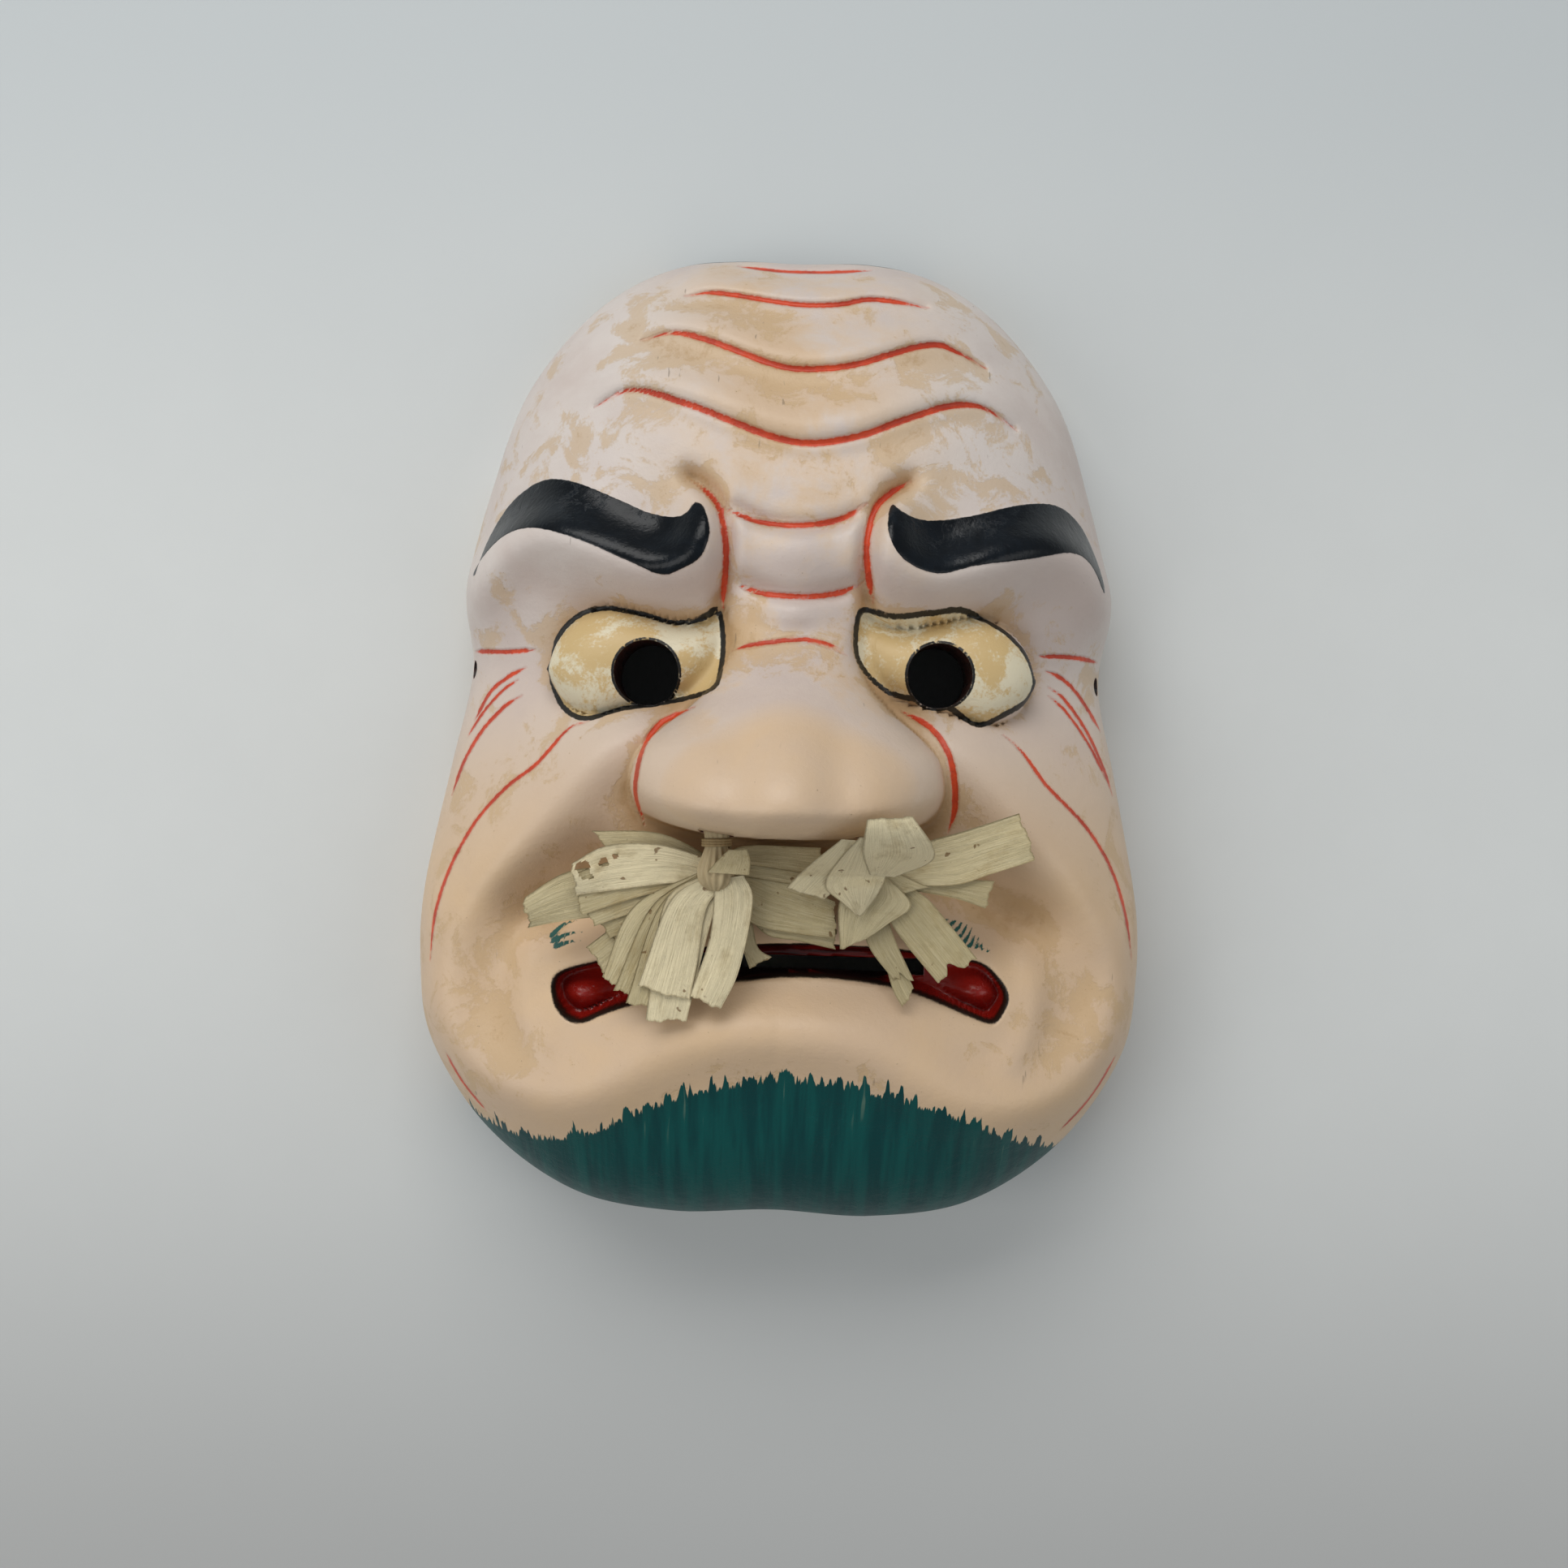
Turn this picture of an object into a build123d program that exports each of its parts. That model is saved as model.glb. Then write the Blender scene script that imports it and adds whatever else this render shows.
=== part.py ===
from build123d import *
import math
import os
import numpy as np

# A carved wooden theatre mask lying on its rim, face up.  Millimetres.
# +Z points out of the face, +Y to the crown, +X to the viewer's right.  The origin is the middle of
# the rim plane that the mask rests on.

# Driving dimensions ------------------------------------------------------------------------------
HALF_HEIGHT = 106.0        # rim centre to crown, and to chin
DOME = 52.0                # height of the middle of the face above the rim
DOME_CROWN = 10.0          # extra height of the forehead
DOME_CHIN = 8.0            # extra height of the chin
LEAN = 1.0                 # how far the middle line of the features sits to the right
LEAN_SLOPE = 0.012         # and how much it drifts to the right going up
WALL = 7.0                 # carved wall thickness over the face
SIDE_WALL = 8.0            # wall thickness at the rim
PUPIL_RADIUS = 6.5
PUPILS = [(-28.1, 10.5), (30.9, 11.5)]
CORD_HOLE_RADIUS = 2.0
CORD_HOLE_Y = 12.0
CORD_HOLE_Z = 20.0
MOUTH_FLOOR = 43.5         # height of the bottom of the painted mouth recess
SLIT_HALF = 29.0           # half length of the slit that goes on through the wood
SLIT_WIDTH = 5.2
SLIT_Y = -47.3

SWING_Y = -14.0            # the tufts swing about this line, inside the nostrils
SWING_Z = 65.0
SWING_LIMIT = 14.0         # degrees
STEM_RADIUS = 2.7
ROLL_RADIUS = 2.9          # the stem's rolled end, along the swing line
ROLL_LENGTH = 5.8
STEM_X = {"left": -12.5, "right": 17.5}
STEM_END = -26.0
KNOT_Y = -29.0
KNOT_RADIUS = 3.8
KNOT_LOW = 59.6
KNOT_HIGH = 68.4
NOSTRIL_GAP = 0.6
NOSTRIL_REACH = 12.0       # from the swing line to clear of the nose
THREAD_RADIUS = 0.45
THREAD_TURNS = 2
THREAD_START = 8.1         # along the stem from its pivot

STRIP = 0.35               # thickness of a leaf strip
LAYER = 0.5                # height from one strip to the next

END_HALF_WIDTH = 22.0       # the flats at the crown and under the chin
END_INSET = 0.5
SECTION_STEP = 4.0         # spacing of the cross-sections that the shell is lofted through
SECTION_POINTS = 45


# The face's form ---------------------------------------------------------------------------------
OUTLINE = [(0, 106), (24, 105.6), (43.5, 96), (59.3, 77), (67.3, 55), (71.8, 33.5), (70.8, 12),
           (74, -9), (78.2, -33), (78.6, -52), (75.5, -69.5), (62.9, -88.7), (43.6, -102),
           (22, -106), (0, -105.7)]
BROW_FOLD = [(72, 22), (66, 31), (54, 38), (42, 35), (30, 30), (22, 30), (18, 35), (18.5, 44)]
BROW_PAD = [(60, 44), (48, 46), (36, 42)]
FROWN = [(23, 51), (18, 47.5), (15.2, 43), (14, 37), (14, 30), (15.2, 24)]
NOSE_ROOT_LINES = [
    [(-13, 44), (-8, 41.3), (-2, 40.2), (4, 40.3), (9, 41.5), (13, 44)],
    [(-12, 29.4), (-5, 26.9), (1, 26.3), (8, 27.2), (12, 29)],
    [(-11, 15.3), (-4.7, 16.5), (2.4, 17.2), (8, 16.4), (11, 15)],
]
WRINKLES = [
    [(-13, 101.3), (-5, 100), (2, 99.8), (9, 100), (16, 101)],
    [(-23.5, 91), (-17, 91.6), (-3.6, 89.5), (3, 88.9), (9.6, 89.4), (16, 90.9), (28, 90.1)],
    [(-32, 79.9), (-26, 81.2), (-19.5, 79.8), (-4.8, 74), (3.3, 73), (13, 74.5), (27.4, 80.1),
     (34, 79.2), (40, 76.6)],
    [(-41, 65.2), (-33, 68.2), (-22, 64.9), (-12.4, 61.1), (-4.3, 58.1), (3.7, 56.9), (13.3, 58.7),
     (22.8, 62.8), (32, 66.5), (39, 67), (46.4, 63.5)],
]
EYE_TOP = [(12, 15), (13.8, 23.6), (18, 22.3), (23.5, 21.6), (30, 22.9), (37, 24.3), (43.5, 22.2),
           (48, 17.6), (50.2, 11)]
EYE_LOW = [(12, 15), (14, 8.2), (20, 6.4), (27, 4.9), (33.5, 3.4), (40, 1.6), (45.5, 3.4),
           (49, 7.6), (50.2, 11)]
NOSE_SPINE = [(-34, 62), (-28, 72), (-22.5, 80), (-17.5, 84.8), (-12, 84), (-6, 79.5), (1, 72),
              (8, 64.5), (15, 58.5), (22, 55), (30, 53)]
NOSE_WIDTH = [(-30, 22), (-24, 26.5), (-18, 30.4), (-12, 31.6), (-6, 30.2), (-1, 26), (4, 20),
              (9, 15.5), (16, 12.5), (24, 12), (30, 12)]
CHEEK_FOLD = [(27, 2), (36, -5), (44, -13), (52, -22), (60, -33), (66, -44)]
JOWL = [(74, -34), (73, -50), (69, -62), (61, -71), (50, -76), (40, -76), (32, -71), (22, -65),
        (8, -62), (-8, -62)]
MOUTH_CORNER = [(49, -40), (52, -50), (51, -60), (46, -67)]
MOUTH_TOP = [(-45.3, -53), (-43.5, -50.5), (-38, -48.6), (-32, -47.2), (-18, -45), (-4.7, -43.6),
             (9.8, -43.2), (24.4, -44), (34, -45.5), (41, -46.5), (45, -50), (46.4, -53)]
MOUTH_LOW = [(46.4, -53), (45.6, -55.5), (43.4, -57.9), (38.5, -56.3), (31, -53.3), (23, -50.9),
             (13, -49.5), (4.3, -49.3), (-4.5, -50), (-16, -51.9), (-27, -55), (-34, -57.5),
             (-40, -60), (-44, -57.5), (-45.3, -53)]


def curve(points, steps=12, closed=False):
    """Points along a smooth Catmull-Rom curve through a few set points."""
    p = np.array(points, float)
    if closed:
        p = np.vstack([p[-1], p, p[:2]])
    else:
        p = np.vstack([2*p[0]-p[1], p, 2*p[-1]-p[-2]])
    t = np.linspace(0, 1, steps, endpoint=False)[:, None]
    spans = []
    for a, b, c, d in zip(p[:-3], p[1:-2], p[2:-1], p[3:]):
        spans.append(0.5*(2*b+(c-a)*t+(2*a-5*b+4*c-d)*t**2+(3*b-3*c+d-a)*t**3))
    if not closed:
        spans.append(p[-2:-1])
    return np.vstack(spans)


RIM = curve(OUTLINE+[(-x, y) for x, y in OUTLINE[-2:0:-1]], 24, closed=True)
RIM_ANGLE = np.arctan2(RIM[:, 1], RIM[:, 0])
RIM_RADIUS = np.hypot(RIM[:, 0], RIM[:, 1])


def outline_radius(angle):
    """Distance from the middle of the rim to its outer edge, in a direction."""
    return np.interp(angle, RIM_ANGLE, RIM_RADIUS, period=2*math.pi)


def ease(t):
    t = np.clip(t, 0, 1)
    return t*t*(3-2*t)


def union(a, b, soft):
    """The greater of two heights, with a soft join."""
    return 0.5*(a+b+np.sqrt((a-b)**2+soft*soft))


def profile(v, points):
    line = curve(points, 16)
    return np.interp(v, line[:, 0], line[:, 1])


def bump(u, v, centre, size, height, turn=0.0):
    c = math.cos(math.radians(turn))
    s = math.sin(math.radians(turn))
    du = u-centre[0]
    dv = v-centre[1]
    return height*np.exp(-((du*c+dv*s)/size[0])**2-((dv*c-du*s)/size[1])**2)


def ridge(u, v, points, width, height):
    """A rounded ridge along a curve, or a groove where the height is negative."""
    line = curve(points)
    gaps = np.linalg.norm(np.diff(line, axis=0), axis=1)
    total = np.zeros(u.shape)
    for (px, py), gap in zip(0.5*(line[1:]+line[:-1]), gaps):
        total += gap*np.exp(-((u-px)**2+(v-py)**2)/width**2)
    return height*total/(width*math.sqrt(math.pi))


def dome(x, y):
    """The plain dome of the head: rounder over the forehead, boxier round the jowls."""
    reach = np.hypot(x, y)/outline_radius(np.arctan2(y, x))
    brow = ease((y+30)/90)
    height = DOME+DOME_CROWN*ease((y-10)/60)+DOME_CHIN*ease((-y-35)/40)
    return height*np.clip(1-np.clip(reach, 0, 1)**(3.2-0.7*brow), 0, 1)**(1/(3.4-1.2*brow))


def add_nose(z, u, v):
    a = np.abs(u)
    spine = profile(v, NOSE_SPINE)
    across = a/profile(v, NOSE_WIDTH)
    edge = 47+5*ease((v+4)/12)
    body = edge+(spine-edge)*np.clip(1-across**2.5, 0, 1)**0.5-12*np.clip(across-1, 0, 3)
    body = body+1.6*np.exp(-(u/7)**2)*ease((v+24)/10)*ease((14-v)/12)
    body = body-1.4*np.exp(-((a-9.5)/4.5)**2)*ease((v+24)/8)*ease((4-v)/10)
    low = -22+4.5*np.clip(a/30, 0, 1.2)**2.6
    body = body-9*np.clip((low+6-v)/6.5, 0, 1)**2
    reach = ease((v-low)/2.6+0.5)*ease((30-v)/12)*ease((1.35-across)/0.3)
    return z+(union(z, body, 1.8)-z)*reach


def relief(x, y):
    """Height of the carved face above the rim plane."""
    z = dome(x, y)
    u = x-LEAN-LEAN_SLOPE*y
    v = y
    a = np.abs(u)
    z = z+bump(a, v, (32, 14), (24, 12), -9)+bump(a, v, (63, 10), (12, 16), -3)
    z = z+ridge(a, v, BROW_FOLD, 6.5, 7.5)+ridge(a, v, BROW_PAD, 9, 2)
    z = z+bump(a, v, (0, 29), (12, 16), 4.5)
    z = z+bump(a, v, (0, 34.5), (13, 4.5), 1.8)+bump(a, v, (0, 21.5), (12, 3.5), 2.2)
    z = z+ridge(a, v, FROWN, 2.6, -3.6)
    for line in NOSE_ROOT_LINES:
        z = z+ridge(u, v, line, 2.2, -1.8)
    for line in WRINKLES:
        z = z+ridge(x, y, [(px, py+3.2) for px, py in line], 4.5, 1.6)
        z = z+ridge(x, y, [(px, py-2.0) for px, py in line], 3.5, -1.4)
    lid = profile(a, EYE_TOP)
    bag = profile(a, EYE_LOW)
    half = np.maximum((lid-bag)/2, 0.01)
    open_eye = np.where((a > 12) & (a < 50.2), 1-((v-(lid+bag)/2)/half)**2, -1)
    ball = 42+10.5*np.sqrt(np.clip(open_eye, 0, 1))*np.clip(1-((a-31)/22)**4, 0, 1)
    z = np.where(open_eye > 0, union(ball, z-3, 1.0), z)
    z = add_nose(z, u, v)
    z = z+ridge(a, v, CHEEK_FOLD, 8.5, 6)
    z = z+bump(a, v, (47, -37), (13, 8), -7.5, -20)+bump(a, v, (35, -29), (8, 6), -5)
    z = z+ridge(a, v, JOWL, 8, 4.5)+bump(a, v, (58, -56), (9, 13), -3)
    z = z+ridge(a, v, MOUTH_CORNER, 3.5, 1.5)
    z = z+bump(a, v, (0, -36), (30, 11), 5)+bump(a, v, (0, -58), (36, 7), 3)
    return z


def hollow(x, y, shrink):
    """Height of the hollow behind the face: a lower, smaller dome with a dent for the nose."""
    z = dome(x*shrink, y*shrink)
    a = np.abs(x-LEAN)
    dents = bump(a, y, (0, -8), (17, 13), 11)+bump(a, y, (30, 13), (20, 12), -8)
    dents = dents+bump(x, y, (0, -50), (60, 16), -9)+bump(a, y, (47, -33), (18, 10), -4)
    return z*(1-(WALL-dents)/DOME)


# The shell ---------------------------------------------------------------------------------------
def half_width(y, scale):
    """Half the rim's width at a distance up the face, for an outline scaled about the middle."""
    side = RIM[RIM[:, 0] >= END_HALF_WIDTH]
    side = side[np.argsort(side[:, 1])]
    return float(np.interp(y/scale, side[:, 1], side[:, 0]))*scale


def section(y, width, heights, floor):
    """A closed cross-section: a smooth line over the top, straight sides and a straight bottom."""
    xs = width*np.sin(np.linspace(-1, 1, SECTION_POINTS)*math.pi/2)
    zs = np.maximum(heights(xs*0.9995, np.full(xs.shape, y)), 0.6)
    points = [(float(px), y, float(pz)) for px, pz in zip(xs, zs)]
    last = points[-1]
    first = points[0]
    corner_a = (last[0], y, floor)
    corner_b = (first[0], y, floor)
    steps = [i/(SECTION_POINTS-1) for i in range(SECTION_POINTS)]
    over = Edge.make_spline(points, parameters=steps)
    return Wire([over, Edge.make_line(last, corner_a),
                 Edge.make_line(corner_a, corner_b), Edge.make_line(corner_b, first)])


def lofted(y_low, y_high, scale, heights, floor):
    count = int(round((y_high-y_low)/SECTION_STEP))+1
    middle = (y_low+y_high)/2
    reach = (y_high-y_low)/2
    wires = []
    for i in range(count):
        t = -1+2*i/(count-1)
        y = middle+reach*(0.62*t+0.38*math.sin(t*math.pi/2))
        wires.append(section(y, half_width(y, scale), heights, floor))
    return Solid.make_loft(wires)


def make_shell():
    outer = lofted(END_INSET-HALF_HEIGHT, HALF_HEIGHT-END_INSET, 1.0, relief, -4)
    scale = 1-SIDE_WALL/78
    inner = lofted(-HALF_HEIGHT*scale+1, HALF_HEIGHT*scale-1, scale,
                   lambda x, y: hollow(x, y, 1/scale), -9)
    shell = split(outer-inner, bisect_by=Plane.XY, keep=Keep.TOP)
    for x, y in PUPILS:
        shell = shell-Pos(x, y, 50)*Cylinder(PUPIL_RADIUS, 60)
    for side in (-1, 1):
        shell = shell-Pos(side*70, CORD_HOLE_Y, CORD_HOLE_Z)*Rot(0, 90, 0)*Cylinder(CORD_HOLE_RADIUS, 30)
    shell = shell-make_mouth()
    for side in ("left", "right"):
        shell = shell-make_nostril(side)
    return shell


def make_mouth():
    """The recess between the lips, and the slit that goes on through the wood."""
    lips = Face(Wire([Edge.make_spline(MOUTH_TOP), Edge.make_spline(MOUTH_LOW)]))
    recess = Pos(0, 0, MOUTH_FLOOR)*extrude(lips, 40, dir=(0, 0, 1))
    below = extrude(lips, MOUTH_FLOOR+1, dir=(0, 0, 1))
    return recess+(below & Pos(LEAN, SLIT_Y, MOUTH_FLOOR)*Box(2*SLIT_HALF, SLIT_WIDTH, 60))


def make_nostril(side):
    """A blind socket, roomy enough for the stem over its whole swing."""
    half = STEM_RADIUS+NOSTRIL_GAP
    rise = math.tan(math.radians(SWING_LIMIT))*NOSTRIL_REACH
    back = SWING_Y+half
    mouth = SWING_Y-NOSTRIL_REACH
    corners = [(back, SWING_Z-half), (back, SWING_Z+half), (mouth, SWING_Z+half+rise+0.3),
               (mouth, SWING_Z-half)]
    side_view = Face(Wire.make_polygon([Vector(STEM_X[side]-half, y, z) for y, z in corners]))
    return extrude(side_view, 2*half, dir=(1, 0, 0))


# The tufts ---------------------------------------------------------------------------------------
def bed(y):
    """Height of the middle layer of strips: level by the knot, then easing down over the mouth."""
    return 64.5-2.0*ease((-y-29)/22)


def lifted(y):
    """Height of the strips that stand up in front of the nose."""
    return profile(y, [(-40, 64.6), (-30, 65.4), (-28, 68), (-26, 72.6), (-24, 77.4), (-21.5, 82.2),
                       (-19, 84.6), (-16, 85.4), (-12, 85.6)])


def layer(height, level):
    """A sheet over the whole mouth, curved along the face, one strip thick."""
    ys = [-70+2*i for i in range(30)]
    tops = [(y, float(height(y))+level*LAYER) for y in ys]
    over = Edge.make_spline([(0, y, z+STRIP) for y, z in tops])
    below = Edge.make_spline([(0, y, z) for y, z in tops])
    ends = [Edge.make_line(over@0, below@0), Edge.make_line(over@1, below@1)]
    return Pos(-70, 0, 0)*extrude(Face(Wire([over, below]+ends)), 140, dir=(1, 0, 0))


def knot(side):
    height = KNOT_HIGH-KNOT_LOW
    return Pos(STEM_X[side], KNOT_Y, (KNOT_LOW+KNOT_HIGH)/2)*Cylinder(KNOT_RADIUS, height)


def stem_rod(side, radius):
    length = SWING_Y-STEM_END+2
    return Pos(STEM_X[side], SWING_Y-length/2, SWING_Z)*Rot(90, 0, 0)*Cylinder(radius, length)


def make_strip(side, outline, level, height=bed):
    plan = Face(Wire.make_polygon([Vector(x, y, 40) for x, y in outline]))
    strip = layer(height, level) & extrude(plan, 60, dir=(0, 0, 1))
    return strip-knot(side)-stem_rod(side, STEM_RADIUS+2*THREAD_RADIUS)


def make_stem(side):
    """A round stem, its rolled end lying along the swing line, and the tied roots of the strips."""
    roll = Pos(STEM_X[side], SWING_Y, SWING_Z)*Rot(0, 90, 0)*Cylinder(ROLL_RADIUS, ROLL_LENGTH)
    return stem_rod(side, STEM_RADIUS)+roll+knot(side)


def make_thread(side):
    """Turns of binding thread round the stem, laid side by side and run together."""
    ring = Circle(STEM_RADIUS+2*THREAD_RADIUS)-Circle(STEM_RADIUS)
    plane = Plane(origin=(STEM_X[side], SWING_Y-THREAD_START, SWING_Z), z_dir=(0, -1, 0))
    return extrude(plane*ring, 2*THREAD_TURNS*THREAD_RADIUS)


LEFT_STRIPS = {
    "left_strip_collar": (8, [(-15, -23.4), (-9, -23), (-6, -25), (-6, -28), (-12, -28.5)]),
    "left_strip_single": (3, [(-9.5, -33), (-13, -31), (-10, -28), (-6, -28.5), (-5.5, -34),
                                (-7.5, -47.5), (-11, -55.5), (-17, -53)]),
    "left_strip_bundle_1": (2, [(-27, -52), (-21.5, -34.5), (-15, -29), (-10.5, -31), (-14.5, -36),
                                  (-15.5, -46), (-17, -54)]),
    "left_strip_bundle_2": (1, [(-25.5, -58.5), (-22.5, -34.5), (-15, -28), (-11, -31),
                                  (-17.5, -58)]),
    "left_strip_bundle_3": (0, [(-29.5, -55), (-23.5, -35), (-15, -28), (-11, -31), (-21, -56.5)]),
    "left_strip_bundle_4": (-1, [(-32, -52.5), (-25, -34.5), (-15, -28), (-11, -31), (-25.5, -55)]),
    "left_strip_bundle_5": (-2, [(-34.5, -50.5), (-28.5, -34.5), (-15, -28), (-11, -31),
                                   (-29.5, -52.5)]),
    "left_strip_fan_1": (-3, [(-41, -28), (-34, -24), (-14, -26), (-12.5, -32), (-28.5, -32.5),
                                (-40, -34)]),
    "left_strip_fan_2": (-4, [(-40.5, -29.5), (-30, -25), (-14, -26.5), (-12.5, -32), (-39, -38)]),
    "left_strip_fan_3": (-5, [(-39, -38), (-40, -32), (-14, -27), (-12.5, -32), (-36, -40)]),
    "left_strip_fan_4": (-6, [(-37.5, -36), (-14.5, -27), (-12, -31), (-33.5, -42.5)]),
    "left_strip_fan_5": (-7, [(-33.5, -42.5), (-36, -37.5), (-14.5, -28), (-12, -31), (-31, -45)]),
    "left_strip_under": (-8, [(-38, -44.5), (-31.5, -38), (-14.5, -29.5), (-12, -32), (-33.5, -51)]),
    "left_strip_folded": (-8, [(-37.5, -21.6), (-29, -20.8), (-13, -26.2), (-14, -29), (-33, -26)]),
    "left_strip_curled": (-10, [(-51, -35.5), (-41.5, -29.5), (-15, -28), (-14.5, -31), (-27, -36.5),
                                 (-43, -39.5), (-49.5, -41)]),
    "left_strip_tongue": (-9, [(-7, -44), (-12, -31), (-8.5, -31), (-4, -43.5), (-1, -45.5),
                                 (-5.5, -48)]),
    "left_strip_across_1": (-6, [(-10, -28), (-5.5, -28), (11, -34), (11.5, -41), (-5.5, -38.5),
                                   (-11, -31)]),
    "left_strip_across_2": (-8, [(-10, -29), (-5, -31), (11.5, -37), (11.5, -43.5), (-3, -40.5)]),
    "left_strip_nose_1": (-4, [(-11, -25.5), (-6.5, -23.6), (8, -23.6), (7.5, -28.5), (-6.5, -27),
                                 (-11, -28)]),
    "left_strip_nose_2": (-5, [(-11, -27), (-6, -25.5), (6, -26), (4, -31), (-5.5, -29.5),
                                 (-11, -29)]),
}

RIGHT_STRIPS = {
    "right_strip_lapel": (-2, [(19.5, -27), (25.5, -34), (17, -41), (12, -43.5), (11.5, -34)]),
    "right_strip_patch": (-3, [(19.5, -26.5), (29, -30.5), (23.5, -32), (18.5, -31)]),
    "right_strip_long": (-4, [(20, -26), (27.5, -22), (46.5, -15.5), (50, -24.5), (33.5, -30),
                                (20, -30.5)]),
    "right_strip_tail_1": (-5, [(20, -27), (27, -31.5), (30.5, -34.5), (39.5, -45), (36.5, -48.5),
                                  (31.5, -49.5), (19, -36.5), (17.5, -30)]),
    "right_strip_side": (-6, [(20, -27), (33.5, -29), (42, -29), (40.5, -34.5), (33.5, -32.5),
                                (20, -30.5)]),
    "right_strip_tail_2": (-7, [(17, -30), (20.5, -30), (22, -39), (27, -49.5), (23, -49.5),
                                  (17, -41)]),
    "right_strip_tail_3": (-8, [(17, -30), (21, -30.5), (22, -40), (27, -51), (25, -55),
                                  (22, -49)]),
}

LIFTED_STRIPS = {
    "right_strip_crest": (1.2, [(15.6, -17), (23.5, -16.2), (28.5, -24), (22, -28.5), (17, -28)]),
    "right_strip_cross": (0.2, [(8.5, -30.5), (11, -25), (14.2, -20.8), (16.8, -20.5), (19, -24),
                                (20.3, -28), (15.8, -36.5), (12, -33.6)]),
    "right_strip_fold": (-0.8, [(1, -31.5), (6, -25.8), (11, -21), (14.2, -21.2), (17, -26),
                                (19.5, -30), (8.5, -33.5)]),
}


def make_parts():
    parts = {"mask_shell": make_shell()}
    for side in ("left", "right"):
        parts[side+"_stem"] = make_stem(side)
        parts[side+"_thread"] = make_thread(side)
    for name, (level, outline) in LEFT_STRIPS.items():
        parts[name] = make_strip("left", outline, level)
    for name, (level, outline) in RIGHT_STRIPS.items():
        parts[name] = make_strip("right", outline, level)
    for name, (level, outline) in LIFTED_STRIPS.items():
        parts[name] = make_strip("right", outline, level, lifted)
    return parts


def main():
    os.makedirs("parts", exist_ok=True)
    for name, part in make_parts().items():
        solids = part.solids()
        largest = max(solids, key=lambda solid: solid.volume)
        export_step(largest, "parts/"+name+".step")


main()
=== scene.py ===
"""A scowling carved theatre mask, lying on its rim on a pale table, with two leaf-strip tufts."""
import math
import bpy
import bmesh
import mathutils
import numpy as np
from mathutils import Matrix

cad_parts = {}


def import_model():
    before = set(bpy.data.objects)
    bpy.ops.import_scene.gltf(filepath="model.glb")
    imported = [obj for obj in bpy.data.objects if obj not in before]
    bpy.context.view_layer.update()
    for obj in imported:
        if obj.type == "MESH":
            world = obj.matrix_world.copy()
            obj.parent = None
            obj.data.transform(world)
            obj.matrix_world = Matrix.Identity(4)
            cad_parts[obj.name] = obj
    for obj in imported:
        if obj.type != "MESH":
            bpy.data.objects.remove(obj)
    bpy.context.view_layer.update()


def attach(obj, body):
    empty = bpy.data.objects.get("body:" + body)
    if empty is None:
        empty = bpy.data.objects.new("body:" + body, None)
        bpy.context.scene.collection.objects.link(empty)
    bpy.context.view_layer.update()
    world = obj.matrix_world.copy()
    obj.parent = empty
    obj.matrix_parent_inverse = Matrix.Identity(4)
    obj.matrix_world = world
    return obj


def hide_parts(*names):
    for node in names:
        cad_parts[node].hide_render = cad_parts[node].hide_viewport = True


MM = 0.001
FAR = -50.0                        # a painted shape's distance where there is none of it, in millimetres


# ---- small helpers -------------------------------------------------------------------------------

def colour(red, green, blue):
    """A linear colour from the 0 to 255 values of a display."""
    def linear(c):
        c = c/255
        return c/12.92 if c <= 0.04045 else ((c+0.055)/1.055)**2.4
    return (linear(red), linear(green), linear(blue), 1.0)


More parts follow.
